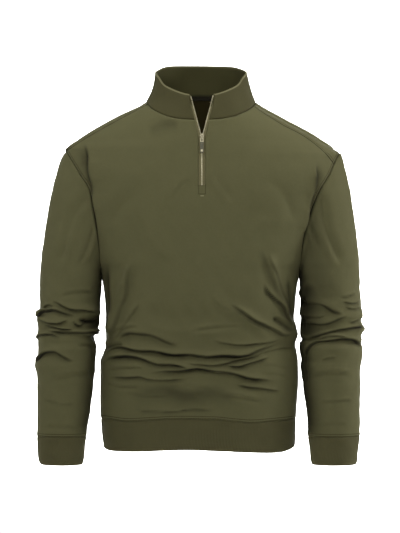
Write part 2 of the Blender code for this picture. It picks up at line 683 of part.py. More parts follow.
def build_sleeve(side, material):
    name = "left" if side < 0 else "right"
    folds = LEFT_FOLDS if side < 0 else RIGHT_FOLDS
    loop = armhole_loop(side)
    half = len(UPPER_SHARES) - 1
    lengths = np.linalg.norm(np.roll(loop, -1, axis=0) - loop, axis=1)
    front = np.concatenate([[0.0], np.cumsum(lengths[:half])])
    back = np.concatenate([[0.0], np.cumsum(lengths[half:])])
    angles = np.concatenate([front[:-1] / front[-1], 1.0 + back[:-1] / back[-1]]) * math.pi
    level = sleeve_ring(side, SLEEVE_RING, angles)
    outer_weight = (0.5 + 0.5 * np.cos(angles)) ** 2
    rings = []
    for step in range(SLEEVE_HEAD_STEPS):
        share = step / SLEEVE_HEAD_STEPS
        ring = loop * (1.0 - share) + level * share
        wanted = side * sleeve(name + "_outer", ring[0, 2])
        if step > 0:
            ring[:, 0] += (wanted - ring[0, 0]) * outer_weight
        rings.append(ring)
    heights = list(np.linspace(SLEEVE_RING, ELBOW_END, ELBOW_STEPS + 1))
    heights += list(np.linspace(ELBOW_END, CUFF_SEAM, FOREARM_STEPS + 1)[1:])
    rings += [sleeve_ring(side, h, angles) for h in heights]
    grid = np.array(rings)
    around = np.degrees(angles)[None] * ROUND_SCALE + 0.0 * grid[..., 2]
    scaled = [(r[0] * ROUND_SCALE, r[1], r[2] * ROUND_SCALE) + r[3:] for r in folds]
    depth = fold_depth(scaled, around, grid[..., 2])
    depth = depth + fold_depth(scaled, around - 360.0 * ROUND_SCALE, grid[..., 2])
    outward = np.stack([side * np.cos(angles), -np.sin(angles), np.zeros_like(angles)], axis=1)
    grid = grid - outward[None] * depth[..., None]
    grid[0] = draw_back(loop, grid[1], SLEEVE_GAP)
    grid[-1, :, 2] = CUFF_SEAM + 0.5 * SEAM_GAP
    rows, columns = grid.shape[:2]
    points = grid.reshape(-1, 3)
    faces = cloth_faces(rows, columns, closed=True)
    inside = np.repeat(grid.mean(axis=1), columns, axis=0)
    normals = grid_normals(points, faces, inside).reshape(rows, columns, 3)
    torso_side = torso_normal(loop)
    for column in range(columns):
        share = UPPER_SHARES[half - column] if column <= half else UPPER_SHARES[column - half]
        normals[0, column] += ridge_share(share) * torso_side[column]
    normals[-1, :, 2] = 0.0
    make_cloth("sleeve_" + name, points, faces, unit(normals).reshape(-1, 3), BODY_WALL, material)


def build_cuff(side, material):
    angles = np.linspace(0.0, 2.0 * math.pi, CUFF_STEPS, endpoint=False)
    grid = np.array([sleeve_ring(side, h, angles) for h in CUFF_RINGS])
    rows, columns = grid.shape[:2]
    points = grid.reshape(-1, 3)
    faces = cloth_faces(rows, columns, closed=True)
    normals = grid_normals(points, faces, np.repeat(grid.mean(axis=1), columns, axis=0))
    normals[:, 2] = 0.0
    name = "cuff_left" if side < 0 else "cuff_right"
    make_cloth(name, points, faces, unit(normals), BAND_WALL, material)


def build_hem(material):
    rings = []
    for height in HEM_RINGS:
        ring = []
        for step in range(HEM_STEPS):
            turn = 2.0 * math.pi * step / HEM_STEPS
            side = -1 if math.cos(turn) < 0.0 else 1
            angle = math.asin(math.sin(turn))
            ring.append(ring_point(side, angle, height))
        rings.append(ring)
    grid = np.array(rings)
    x = grid[-1, :, 0]
    grid[-1, :, 2] += HEM_DROP - HEM_WAVE * np.sin((x - HEM_WAVE_START) / HEM_WAVE_RUN)
    grid[-1, :, 2] += HEM_CORNER_LIFT * np.clip((x - HEM_CORNER_START) / HEM_CORNER_RUN, 0.0, 1.0)
    rows, columns = grid.shape[:2]
    points = grid.reshape(-1, 3)
    faces = cloth_faces(rows, columns, closed=True)
    normals = grid_normals(points, faces, np.repeat(grid.mean(axis=1), columns, axis=0))
    normals[:, 2] = 0.0
    make_cloth("hem_band", points, faces, unit(normals), BAND_WALL, material)


def rim_point(base, side):
    """Point of the collar's upper rim over a point of the neckline."""
    if base[1] < RIM_CENTRE_Y and abs(base[0] - ZIP_CENTRE) < ZIP_ZONE:
        x = ZIP_CENTRE + side * cloth_offset(RIM_FRONT)
        y = RIM_CENTRE_Y - RIM_HALF_DEPTH * math.sqrt(1.0 - ((x - RIM_CENTRE_X) / RIM_HALF_WIDTH) ** 2)
    else:
        ahead = (base[1] - RIM_CENTRE_Y) / NECK_HALF_DEPTH
        aside = (base[0] - RIM_CENTRE_X) / NECK_HALF_WIDTH
        turn = math.atan2(ahead, aside)
        x = RIM_CENTRE_X + RIM_HALF_WIDTH * math.cos(turn)
        y = RIM_CENTRE_Y + RIM_HALF_DEPTH * math.sin(turn)
    knots = table_column(RIM_ROWS, RIM_COLUMNS, "depth")
    return np.array([x, y, float(smooth_curve(knots, table_column(RIM_ROWS, RIM_COLUMNS, "height"), y))])


def collar_grid():
    left = front_neck_points(-1)[::-1] + [shoulder_points(-1)[-1]] + back_neck_points(-1)
    right = front_neck_points(1)[::-1] + [shoulder_points(1)[-1]] + back_neck_points(1)
    base = np.array(left + right[-2::-1])
    count = len(base)
    rim = np.array([rim_point(p, -1 if i < count // 2 else 1) for i, p in enumerate(base)])
    share = np.linspace(0.0, 1.0, COLLAR_STEPS + 1)[:, None, None]
    grid = base[None] * (1.0 - share) + rim[None] * share
    centre = np.array([RIM_CENTRE_X, RIM_CENTRE_Y, 0.0])
    outward = (base - centre) * np.array([1.0, 1.0, 0.0])
    grid = grid + unit(outward)[None] * COLLAR_BOW * np.sin(share * math.pi)
    grid[0] = draw_back(base, grid[1], 0.5 * SEAM_GAP)
    for row in grid:
        for column, side in ((0, -1), (-1, 1)):
            row[column, 0] = ZIP_CENTRE + side * cloth_offset(row[column, 2])
    return grid


def build_collar(material):
    grid = collar_grid()
    rows, columns = grid.shape[:2]
    points = grid.reshape(-1, 3)
    faces = cloth_faces(rows, columns)
    inside = points * np.array([0.0, 0.0, 1.0]) + np.array([RIM_CENTRE_X, RIM_CENTRE_Y, 0.0])
    normals = grid_normals(points, faces, inside).reshape(rows, columns, 3)
    normals[:, 0, 0] = 0.0
    normals[:, -1, 0] = 0.0
    make_cloth("collar", points, faces, unit(normals).reshape(-1, 3), COLLAR_WALL, material)
    return grid


def build_tapes(halves, collar, material):
    slit_count = len(UPPER_SHARES) - list(UPPER_SHARES).index(ZIP_BOTTOM_SHARE)
    for side, name in ((-1, "zip_tape_left"), (1, "zip_tape_right")):
        panel = halves[0 if side < 0 else 1][1][-slit_count:, -1]
        stand = collar[1:, 0 if side < 0 else -1]
        line = np.concatenate([panel, stand])
        line[0, 2] += SEAM_GAP
        outer = line + np.array([-side * SEAM_GAP, 0.5, 0.0])
        inner = outer.copy()
        inner[:, 0] = [ZIP_CENTRE + side * teeth_offset(h) for h in line[:, 2]]
        grid = np.stack([outer, inner], axis=1)
        points = grid.reshape(-1, 3)
        faces = cloth_faces(len(line), 2)
        normals = grid_normals(points, faces, points + np.array([0.0, 40.0, 0.0]))
        normals[:, 0] = 0.0
        make_cloth(name, points, faces, unit(normals), TAPE_WALL, material)


def slider_frame():
    """Axes across, along and out from the cloth at the slider, and its middle."""
    upper = front_point(ZIP_CENTRE, SLIDER_HEIGHT + SLIDER_HALF_LENGTH)
    lower = front_point(ZIP_CENTRE, SLIDER_HEIGHT - SLIDER_HALF_LENGTH)
    along = (upper - lower) / np.linalg.norm(upper - lower)
    out = np.array([0.0, -along[2], along[1]])
    return np.array([1.0, 0.0, 0.0]), along, out, front_point(ZIP_CENTRE, SLIDER_HEIGHT)


def prism(outline, low, high, plane):
    """Closed prism over an outline in the plane of two slider axes."""
    axes = slider_frame()
    third = 3 - plane[0] - plane[1]
    corners = []
    for level in (low, high):
        for first, second in outline:
            corners.append(axes[3] + axes[plane[0]] * first + axes[plane[1]] * second + axes[third] * level)
    count = len(outline)
    faces = [tuple(range(count)), tuple(range(2 * count - 1, count - 1, -1))]
    faces += [(i, (i + 1) % count, count + (i + 1) % count, count + i) for i in range(count)]
    mesh = bpy.data.meshes.new("prism")
    mesh.from_pydata((np.array(corners) * MILLIMETRE).tolist(), [], faces)
    shape = bmesh.new()
    shape.from_mesh(mesh)
    bmesh.ops.recalc_face_normals(shape, faces=shape.faces)
    shape.to_mesh(mesh)
    shape.free()
    item = bpy.data.objects.new("prism", mesh)
    bpy.context.scene.collection.objects.link(item)
    return item


def combine(name, first, others, material, origin=None):
    """One closed body from the first prism, with the others joined to it or cut from it."""
    for item, operation in others:
        step = first.modifiers.new("step", "BOOLEAN")
        step.object = item
        step.operation = operation
        step.solver = "EXACT"
    bpy.context.view_layer.update()
    shaped = bpy.data.meshes.new_from_object(first.evaluated_get(bpy.context.evaluated_depsgraph_get()))
    for item in [first] + [other for other, _ in others]:
        bpy.data.objects.remove(item)
    shaped.name = name
    shaped.materials.clear()
    finish_object(name, shaped, material, origin)


def box_outline(low_a, high_a, low_b, high_b):
    return ((low_a, low_b), (high_a, low_b), (high_a, high_b), (low_a, high_b))


def build_slider(material):
    across_along, along_out = (0, 1), (1, 2)
    front_plate = prism(PLATE_OUTLINE, PLATE_FRONT[0], PLATE_FRONT[1], across_along)
    back_plate = prism(PLATE_OUTLINE, PLATE_BACK[0], PLATE_BACK[1], across_along)
    post_outline = box_outline(-POST_HALF_WIDTH, POST_HALF_WIDTH, POST_SPAN[0], POST_SPAN[1])
    post = prism(post_outline, PLATE_BACK[1] - OVERLAP, PLATE_FRONT[0] + OVERLAP, across_along)
    base = PLATE_FRONT[1] - OVERLAP
    arch_outline = (
        (ARCH_SPAN[0], base), (ARCH_OPENING[0], base), (ARCH_OPENING[0], ARCH_UNDERSIDE),
        (ARCH_OPENING[1], ARCH_UNDERSIDE), (ARCH_OPENING[1], base), (ARCH_SPAN[1], base),
        (ARCH_SPAN[1], ARCH_TOP - ARCH_CORNER), (ARCH_SPAN[1] - ARCH_CORNER, ARCH_TOP),
        (ARCH_SPAN[0] + ARCH_CORNER, ARCH_TOP), (ARCH_SPAN[0], ARCH_TOP - ARCH_CORNER),
    )
    arch = prism(arch_outline, -ARCH_HALF_WIDTH, ARCH_HALF_WIDTH, along_out)
    combine("zip_slider", front_plate, [(post, "UNION"), (back_plate, "UNION"), (arch, "UNION")], material)


def build_pull(material):
    top = PIN_ALONG + PIN_HALF
    bottom = PIN_ALONG - TAB_LENGTH
    outline = (
        (-TAB_HALF_WIDTH + TAB_SHOULDER, top), (-TAB_HALF_WIDTH, top - TAB_SHOULDER),
        (-TAB_HALF_WIDTH, bottom + TAB_CORNER), (-TAB_HALF_WIDTH + TAB_CORNER, bottom),
        (TAB_HALF_WIDTH - TAB_CORNER, bottom), (TAB_HALF_WIDTH, bottom + TAB_CORNER),
        (TAB_HALF_WIDTH, top - TAB_SHOULDER), (TAB_HALF_WIDTH - TAB_SHOULDER, top),
    )
    low, high = PIN_OUT - TAB_HALF_THICKNESS, PIN_OUT + TAB_HALF_THICKNESS
    plate = prism(outline, low, high, (0, 1))
    hole_outline = box_outline(-TAB_HOLE_HALF_WIDTH, TAB_HOLE_HALF_WIDTH,
                               PIN_ALONG - TAB_HOLE_END, PIN_ALONG - PIN_HALF)
    hole = prism(hole_outline, low - HOLE_RUN_OUT, high + HOLE_RUN_OUT, (0, 1))
    across, along, out, middle = slider_frame()
    pin = (middle + along * PIN_ALONG + out * PIN_OUT) * MILLIMETRE
    combine("pull_tab", plate, [(hole, "DIFFERENCE")], material, pin.tolist())


for item in list(bpy.data.objects):
    bpy.data.objects.remove(item)

body_cloth = make_material("body_knit", BODY_OLIVE, 0.85, 0.0)
back_cloth = make_material("back_knit", BODY_OLIVE, 0.86, 0.0)
sleeve_cloth = make_material("sleeve_knit", BODY_OLIVE, 0.84, 0.0)
band_cloth = make_material("rib_knit", BAND_OLIVE, 0.9, 0.0)
collar_cloth = make_material("collar_knit", COLLAR_OLIVE, 0.85, 0.0)
tape_cloth = make_material("zip_tape", TAPE_OLIVE, 0.8, 0.0)
zip_metal = make_material("zip_metal", ZIP_METAL, 0.35, 1.0)
pull_cover = make_material("pull_cover", PULL_OLIVE, 0.55, 0.0)

panel_halves = build_front(body_cloth)
build_back(back_cloth)
for sign in (-1, 1):
    build_sleeve(sign, sleeve_cloth)
    build_cuff(sign, band_cloth)
build_hem(band_cloth)
stand_collar = build_collar(collar_cloth)
build_tapes(panel_halves, stand_collar, tape_cloth)
build_slider(zip_metal)
build_pull(pull_cover)
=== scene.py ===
# Half zip sweatshirt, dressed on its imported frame. Tables are in millimetres, meshes in metres.
import math

import bmesh
import bpy
import numpy as np
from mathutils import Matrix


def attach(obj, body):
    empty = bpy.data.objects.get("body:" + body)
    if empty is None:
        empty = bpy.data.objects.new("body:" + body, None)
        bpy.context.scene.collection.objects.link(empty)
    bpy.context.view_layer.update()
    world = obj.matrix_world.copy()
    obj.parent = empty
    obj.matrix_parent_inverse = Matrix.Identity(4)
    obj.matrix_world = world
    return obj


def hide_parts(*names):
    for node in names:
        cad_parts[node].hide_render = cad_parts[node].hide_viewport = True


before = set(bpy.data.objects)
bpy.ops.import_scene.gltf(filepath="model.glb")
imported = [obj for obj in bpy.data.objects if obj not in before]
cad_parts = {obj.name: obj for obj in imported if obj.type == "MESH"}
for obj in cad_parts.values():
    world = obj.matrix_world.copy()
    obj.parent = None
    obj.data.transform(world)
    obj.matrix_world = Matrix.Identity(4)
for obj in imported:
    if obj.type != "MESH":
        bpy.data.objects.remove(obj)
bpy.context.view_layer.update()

print("frame loaded:", len(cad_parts), "nodes")

mm = 0.001
far = 99.0  # mm, for "nowhere near a seam"
sideName = {-1: "left", 1: "right"}


torsoForm = {
    # height, left, right, edge depth, front, back, roundness
    "rows": np.array([
        (-705, 197, 190.5, 0, 119, 116, 2.5),
        (-680, 199.5, 194, 0, 121, 118, 2.5),
        (-645, 202, 195.2, 0, 123, 119, 2.5),
        (-603, 203.6, 198, 0, 127, 119, 2.5),
        (-560, 203.6, 200.7, 0, 128, 117, 2.5),
        (-525, 203.6, 200, 0, 128, 114, 2.5),
        (-504, 195.8, 197.2, 0, 126, 113, 2.5),
        (-488, 191.5, 194.3, 0, 125, 112, 2.5),
        (-467, 192.3, 200, 0, 125, 111, 2.5),
        (-449, 192.9, 194.6, 0, 125, 111, 2.5),
        (-436, 192.9, 191.6, 0, 125, 111, 2.5),
        (-398, 194.5, 192.4, 0, 127, 112, 2.5),
        (-344, 201, 203, 0, 128, 116, 2.5),
        (-322, 204.6, 206, 44, 128, 118, 2.5),
        (-270, 209.7, 213.4, 62, 127, 121, 2.5),
        (-217, 217.3, 227.5, 67, 125, 120, 2.5),
        (-176, 224, 243, 66, 122, 117, 2.45),
        (-141, 244, 263.5, 54, 118, 112, 2.3),
        (-112, 262, 277, 35, 113, 106, 2.1),
        (-98, 270.5, 283.6, 20, 111, 103, 2),
        (-90, 274.7, 276.2, 0, 110, 101, 1.95),
        (-69.7, 251.5, 250.1, 0, 107, 96, 1.8),
        (-45, 213.8, 208.6, 0, 102, 88, 1.8),
        (-28.7, 183.8, 178.6, 0, 97, 81, 1.85),
        (-12.3, 150.7, 148.6, 0, 88, 73, 1.9),
        (0, 123, 125.4, 0, 76, 65, 1.95),
        (8, 109.5, 112.5, 0, 64, 58, 2),
        (14, 103, 107, 0, 56, 53, 2),
    ]),
    "hemSeam": -639, "armpit": -344, "leftTip": -90, "rightTip": -98,
    "neckFront": -33, "neckBack": 14, "neckSide": 8, "leftNeckX": 106, "rightNeckX": 111,
    "backNeckSwell": 1.5, "neckZone": (-50, 125),
    "shoulderSeam": np.array([(106, 0), (150, -21.5), (195, -45), (238, -68.5), (276, -90)]),
    # share of the way from the middle to the neck point, height
    "neckline": np.array([(0.11, -33), (0.37, -31), (0.6, -26), (0.785, -17.5), (0.925, -8.5), (1, 0)]),
    "wall": 2,
}
zipForm = {
    "centre": 3.7, "bottomShare": 0.573, "tapeReach": 6.5, "tapeNarrowing": 4,
    "clearance": 0.15, "spreadStart": -70, "spreadSlope": 0.26, "rimFront": 15, "sliderHeight": -70,
    # how deep the cloth lies beside the zip: depth (negative where it stands up), distance from its edge, width
    "frontDips": [(0.7, 0, 1.2), (-0.9, 3, 2), (0.8, 6.2, 1.3)], "collarDips": [(0.7, 0, 1.2), (-0.8, 3, 2)],
    "dipsFromNeck": 5,
}


def smoothCurve(knots, values, at):
    # cubic through the rows of a table, whose slope at each row is the harmonic mean of its neighbours' slopes
    steps = np.diff(knots)
    slopes = np.diff(values) / steps
    sameWay = slopes[1:] * slopes[:-1] > 0.0
    total = np.where(sameWay, slopes[1:] + slopes[:-1], 1.0)
    inner = np.where(sameWay, 2.0 * slopes[1:] * slopes[:-1] / total, 0.0)
    tangents = np.concatenate([slopes[:1], inner, slopes[-1:]])
    place = np.clip(at, knots[0], knots[-1])
    cell = np.clip(np.searchsorted(knots, place, side="right") - 1, 0, len(steps) - 1)
    step = steps[cell]
    t = (place - knots[cell]) / step
    return ((2 * t ** 3 - 3 * t ** 2 + 1) * values[cell] + (t ** 3 - 2 * t ** 2 + t) * step * tangents[cell]
            + (3 * t ** 2 - 2 * t ** 3) * values[cell + 1] + (t ** 3 - t ** 2) * step * tangents[cell + 1])


def curve(table, at):
    # second column of a table read at places of the first, held level past its ends
    return smoothCurve(table[:, 0], table[:, 1], at)


def fineTable(rows, names):
    heights = np.arange(rows[0, 0], rows[-1, 0] + 0.25, 0.5)
    return heights, {name: smoothCurve(rows[:, 0], rows[:, i + 1], heights) for i, name in enumerate(names)}


torsoHeights, torsoCurves = fineTable(torsoForm["rows"],
                                      ("left", "right", "edgeDepth", "front", "back", "roundness"))


def torsoAt(name, z):
    # one of the torso's curves at a height
    return np.interp(z, torsoHeights, torsoCurves[name])


def halfWidth(side, z):
    # ring half width that puts the table's edge point on the ring
    power = torsoAt("roundness", z)
    share = (torsoAt("edgeDepth", z) / torsoAt("front", z)) ** power
    wide = np.where(np.asarray(side) < 0.0, torsoAt("left", z), torsoAt("right", z))
    return wide / (1.0 - share) ** (1.0 / power)


def outside(points):
    # (|x| / half width) ^ n + (|y| / depth) ^ n - 1: zero on the torso
    x, y, z = points[..., 0], points[..., 1], points[..., 2]
    power = torsoAt("roundness", z)
    depth = np.where(y < 0.0, torsoAt("front", z), torsoAt("back", z))
    return (np.abs(x) / halfWidth(x, z)) ** power + (np.abs(y) / depth) ** power - 1.0


def outsideSlope(points):
    # how fast outside grows along each axis: its difference over 0.8 mm
    slope = np.zeros_like(points)
    for axis in range(3):
        move = np.zeros(3)
        move[axis] = 0.4
        slope[..., axis] = (outside(points + move) - outside(points - move)) / 0.8
    return slope


def settle(points, rounds=24):
    # each point slides along the torso's own slope until it lies on the torso
    placed = points.copy()
    for _ in range(rounds):
        slope = outsideSlope(placed)
        size = np.maximum(np.linalg.norm(slope, axis=-1), 1e-6)
        travel = np.clip(outside(placed) / size, -6.0, 6.0)
        placed = placed - slope * (travel / size)[..., None]
    return placed


def unit(vectors):
    # v / |v|
    return vectors / np.maximum(np.linalg.norm(vectors, axis=-1, keepdims=True), 1e-9)


def bell(distance, width):
    # exp(-(distance / width)^2)
    return np.exp(-(distance / width) ** 2)


def smoothStep(t):
    # 3 t^2 - 2 t^3, with t held between 0 and 1
    t = np.clip(t, 0.0, 1.0)
    return t * t * (3.0 - 2.0 * t)


def frontPoint(x, z):
    # point of the torso's front straight behind a place in the front view
    x, z = np.broadcast_arrays(np.asarray(x, float), np.asarray(z, float))
    power = torsoAt("roundness", z)
    ratio = np.minimum(np.abs(x) / halfWidth(x, z), 1.0)
    return np.stack([x, -torsoAt("front", z) * (1.0 - ratio ** power) ** (1.0 / power), z], axis=-1)


def ringPoint(side, angle, z):
    # point at an angle from the side, towards the front where it is positive
    power = torsoAt("roundness", z)
    spread = (np.abs(np.cos(angle)) ** power + np.abs(np.sin(angle)) ** power) ** (-1.0 / power)
    depth = np.where(angle >= 0.0, torsoAt("front", z), torsoAt("back", z))
    x = side * halfWidth(side, z) * np.cos(angle) * spread
    return np.stack([x, -depth * np.sin(angle) * spread, z + 0.0 * x], axis=-1)


def edgePoint(side, z, back):
    # point of the side seam or, above the armpit, of the armhole's edge
    x = side * torsoAt(sideName[side], z)
    depth = torsoAt("edgeDepth", z)
    y = depth / torsoAt("front", z) * torsoAt("back", z) if back else -depth
    return np.stack([x, y, z], axis=-1)


def teethOffset(z):
    # distance from the zip's middle to the teeth: clearance + slope x height above where the zip opens
    return zipForm["clearance"] + zipForm["spreadSlope"] * np.maximum(0.0, z - zipForm["spreadStart"])


def clothOffset(z):
    # distance from the zip's middle to the cloth's edge
    narrow = np.clip((z - zipForm["spreadStart"]) / (zipForm["rimFront"] - zipForm["spreadStart"]), 0.0, 1.0)
    return teethOffset(z) + zipForm["tapeReach"] - zipForm["tapeNarrowing"] * narrow


def neckX(side):
    # distance from the middle to where the shoulder seam meets the neck
    return torsoForm[sideName[side] + "NeckX"]


def shoulderLine(side, share):
    # the forward shoulder seam, from the shoulder's tip at 0 to the neck at 1
    tip = torsoForm[sideName[side] + "Tip"]
    tipX = float(torsoAt(sideName[side], tip))
    seam = torsoForm["shoulderSeam"].copy()
    seam[0, 0] = neckX(side)
    seam[-1] = tipX, tip
    x = tipX + (neckX(side) - tipX) * share
    line = frontPoint(side * x, curve(seam, x))
    line[share <= 0.0] = (side * tipX, 0.0, tip)
    return line


def shoulderTip(side):
    # point where the shoulder seam meets the armhole
    return shoulderLine(side, np.array([0.0]))[0]


def frontNeckLine(side, share):
    # the front's neck seam, from the shoulder seam at 0 to the zip at 1
    end = abs(zipForm["centre"] + side * clothOffset(torsoForm["neckFront"]))
    x = neckX(side) + (end - neckX(side)) * share ** 1.5
    return frontPoint(side * x, curve(torsoForm["neckline"], x / neckX(side)))


def backNeckLine(side, share):
    # the back's neck seam, from the shoulder seam at 0 to the middle at 1
    point = frontPoint(side * neckX(side), 0.0)
    start = math.atan2(-point[1] / torsoAt("front", 0.0), neckX(side) / float(halfWidth(side, 0.0)))
    knots = np.array([-math.pi / 2, -math.pi / 4, 0.0, start])
    middle = 0.5 * (torsoForm["neckBack"] + torsoForm["neckSide"]) + torsoForm["backNeckSwell"]
    heights = np.array([torsoForm["neckBack"], middle, torsoForm["neckSide"], 0.0])
    angle = start - (start + math.pi / 2) * share
    return ringPoint(side, angle, smoothCurve(knots, heights, angle))


def ringAngle(points, side):
    # angle of a point on its ring, as ringPoint takes it
    depth = np.where(points[..., 1] <= 0.0, torsoAt("front", points[..., 2]), torsoAt("back", points[..., 2]))
    return np.arctan2(-points[..., 1] / depth, np.abs(points[..., 0]) / halfWidth(side, points[..., 2]))


def spread(length, cell, lipAtStart=True, lipAtEnd=True):
    # shares from 0 to 1 at about one cell apart, closer together beside a seam
    lip = np.array([0.0, 0.7, 1.4, 2.2, 3.3, 4.8])
    first = lip if lipAtStart else np.array([0.0])
    last = length - lip[::-1] if lipAtEnd else np.array([length])
    inner = max(2, int(round((last[0] - first[-1]) / cell)))
    middle = np.linspace(first[-1], last[0], inner + 1)[1:-1]
    return np.concatenate([first, middle, last]) / length


def gradedRows(stops, cells):
    # heights from the first stop to the last, each stretch cut at about its own cell
    parts = [np.linspace(a, b, max(2, int(round(abs(b - a) / cell)) + 1)) for a, b, cell in
             zip(stops[:-1], stops[1:], cells)]
    return np.concatenate([parts[0]] + [part[1:] for part in parts[1:]])


cellSize = 3.4  # mm, between the rows and columns of a panel
ringShare = 0.42  # the rows below this share of the armhole follow level rings
# rows from the armpit to that share, and on to the zip's foot
ringRows, slitRows = int(106.0 / cellSize), int(42.0 / cellSize)


def panelHalf(side, back, cell=cellSize):
    # half a panel as rows upward and columns from the side to the middle: level rings low down, then
    # edges blended with the swell of the ring below and of the shoulder line above, settled on the torso
    tip = torsoForm[sideName[side] + "Tip"]
    start = torsoForm["hemSeam"]
    low = gradedRows((start, start + 6.0, -600.0, -470.0, -400.0, torsoForm["armpit"]),
                     (1.0, cell, 0.5 * cell, 0.62 * cell, cell))
    upper = np.concatenate([
        ringShare * np.linspace(0.0, 1.0, ringRows + 1),
        ringShare + (zipForm["bottomShare"] - ringShare) * np.linspace(0.0, 1.0, slitRows + 1)[1:],
        zipForm["bottomShare"] + (1.0 - zipForm["bottomShare"]) * spread(140.0, cell, False, True)[1:]])
    base = len(low) - 1 + ringRows
    corner = (8.0 / 14.0) if back else (8.0 / 13.0)
    shares = np.concatenate([corner * spread(200.0, cell, True, False),
                             corner + (1.0 - corner) * spread(100.0 if back else 120.0, cell, False, not back)[1:]])
    split = np.count_nonzero(shares <= corner)
    top = np.concatenate([shoulderLine(side, shares[:split] / corner),
                          (backNeckLine if back else frontNeckLine)(side, (shares[split:] - corner) / (1 - corner))])
    if back:
        top[-1, 0] = 0.0
    edgeHeights = np.concatenate([low, torsoForm["armpit"] + upper[1:] * (tip - torsoForm["armpit"])])
    edge = edgePoint(side, edgeHeights, back)
    edge[-1] = top[0]
    topMiddle = torsoForm["neckBack"] if back else torsoForm["neckFront"]
    middleHeights = np.concatenate([low, torsoForm["armpit"] + upper[1:] * (topMiddle - torsoForm["armpit"])])
    if back:
        middle = ringPoint(side, np.full(len(middleHeights), -math.pi / 2), middleHeights)
    else:
        middle = frontPoint(zipForm["centre"] + side * clothOffset(middleHeights), middleHeights)
    middle[-1] = top[-1]
    first, last = ringAngle(edge, side), ringAngle(middle, side)
    if back:
        first, last = -np.abs(first), np.full(len(last), -math.pi / 2)
    heights = edge[:, 2:] + (middle[:, 2:] - edge[:, 2:]) * shares
    grid = ringPoint(side, first[:, None] + (last - first)[:, None] * shares, heights)
    t = shares[:, None]
    baseSwell = grid[base] - (edge[base] * (1 - t) + middle[base] * t)
    topSwell = top - (top[0] * (1 - t) + top[-1] * t)
    climb = ((upper[base - len(low) + 2:] - ringShare) / (1.0 - ringShare))[:, None, None]
    grid[base + 1:] = (edge[base + 1:, None] * (1 - t) + middle[base + 1:, None] * t
                       + baseSwell * (1 - climb) + topSwell * climb ** 1.5)
    grid = settle(grid)
    grid[:, 0], grid[:, -1], grid[-1] = edge, middle, top
    return grid, len(low)


def lengthAlong(grid, axis, fromEnd=False):
    # running length along one direction of a grid, from its start or its end
    if fromEnd:
        return np.flip(lengthAlong(np.flip(grid, axis), axis), axis)
    steps = np.linalg.norm(np.diff(grid, axis=axis), axis=-1)
    start = np.zeros_like(np.take(steps, [0], axis=axis))
    return np.concatenate([start, np.cumsum(steps, axis=axis)], axis=axis)


def readAlong(at, length, path):
    # points or ways of a path read at given lengths along it
    return np.stack([np.interp(at, length, path[:, axis]) for axis in range(path.shape[1])], axis=1)


def nearestOf(spots, line):
    # which point of the line each spot is nearest to
    square = np.sum(spots ** 2, axis=1)[:, None] + np.sum(line ** 2, axis=1) - 2.0 * spots @ line.T
    return np.argmin(square, axis=1)


def nearPath(points, path):
    # distance of each point from a path, and how far along the path its nearest spot lies
    length = lengthAlong(path, 0)
    at = np.linspace(0.0, length[-1], max(3, int(length[-1] / 0.8)))
    line = readAlong(at, length, path)
    tangent = unit(np.gradient(line, axis=0))
    flat = points.reshape(-1, 3)
    distance, along = np.empty(len(flat)), np.empty(len(flat))
    for chunk in np.array_split(np.arange(len(flat)), max(1, len(flat) // 4000)):
        nearest = nearestOf(flat[chunk], line)
        gap = flat[chunk] - line[nearest]
        slip = np.sum(gap * tangent[nearest], axis=1)
        slip = np.where((nearest > 0) & (nearest < len(line) - 1), slip, 0.0)
        distance[chunk] = np.sqrt(np.maximum(np.sum(gap ** 2, axis=1) - slip ** 2, 0.0))
        along[chunk] = at[nearest] + slip
    return distance.reshape(points.shape[:-1]), along.reshape(points.shape[:-1])


def nearestPath(points, paths):
    # the nearest of several paths
    found = [nearPath(points, path) for path in paths]
    pick = np.argmin([distance for distance, _ in found], axis=0)
    return (np.choose(pick, [distance for distance, _ in found]), np.choose(pick, [along for _, along in found]))


def foldDepth(rows, x, z, fade=0.22):
    # soft troughs and ridges along bowed lines, fading at both ends; each has a low ridge on its upper side.
    # row: start x, start z, end x, end z, bow, depth (negative for a ridge), width
    total = np.zeros_like(x)
    for i, (x0, z0, x1, z1, bow, depth, width) in enumerate(rows):
        runX, runZ = x1 - x0, z1 - z0
        length = math.hypot(runX, runZ)
        along = ((x - x0) * runX + (z - z0) * runZ) / length ** 2
        away = ((z - z0) * runX - (x - x0) * runZ) / length
        inside = np.clip(along, 0.0, 1.0)
        away = away - bow * 4.0 * inside * (1.0 - inside) * (1.0 if runX >= 0.0 else -1.0)
        away = away + 0.16 * width * np.sin(along * length / 17.0 + 1.7 * i)
        ends = smoothStep(np.minimum(along, 1.0 - along) / fade)
        waver = 1.0 + 0.22 * np.sin(along * length / 23.0 + 2.3 * i)
        side = np.where(away > 0.0, 0.8, 1.25)
        reach = np.abs(away / (width * side))
        trough = 0.62 * bell(reach, 1.0) + 0.38 * bell(reach, 0.42)
        above = 0.6 * bell(away - 1.55 * width, 0.95 * width)
        below = 0.2 * bell(away + 1.8 * width, 1.2 * width)
        total = total + depth * ends * waver * (trough - above - below)
    return total


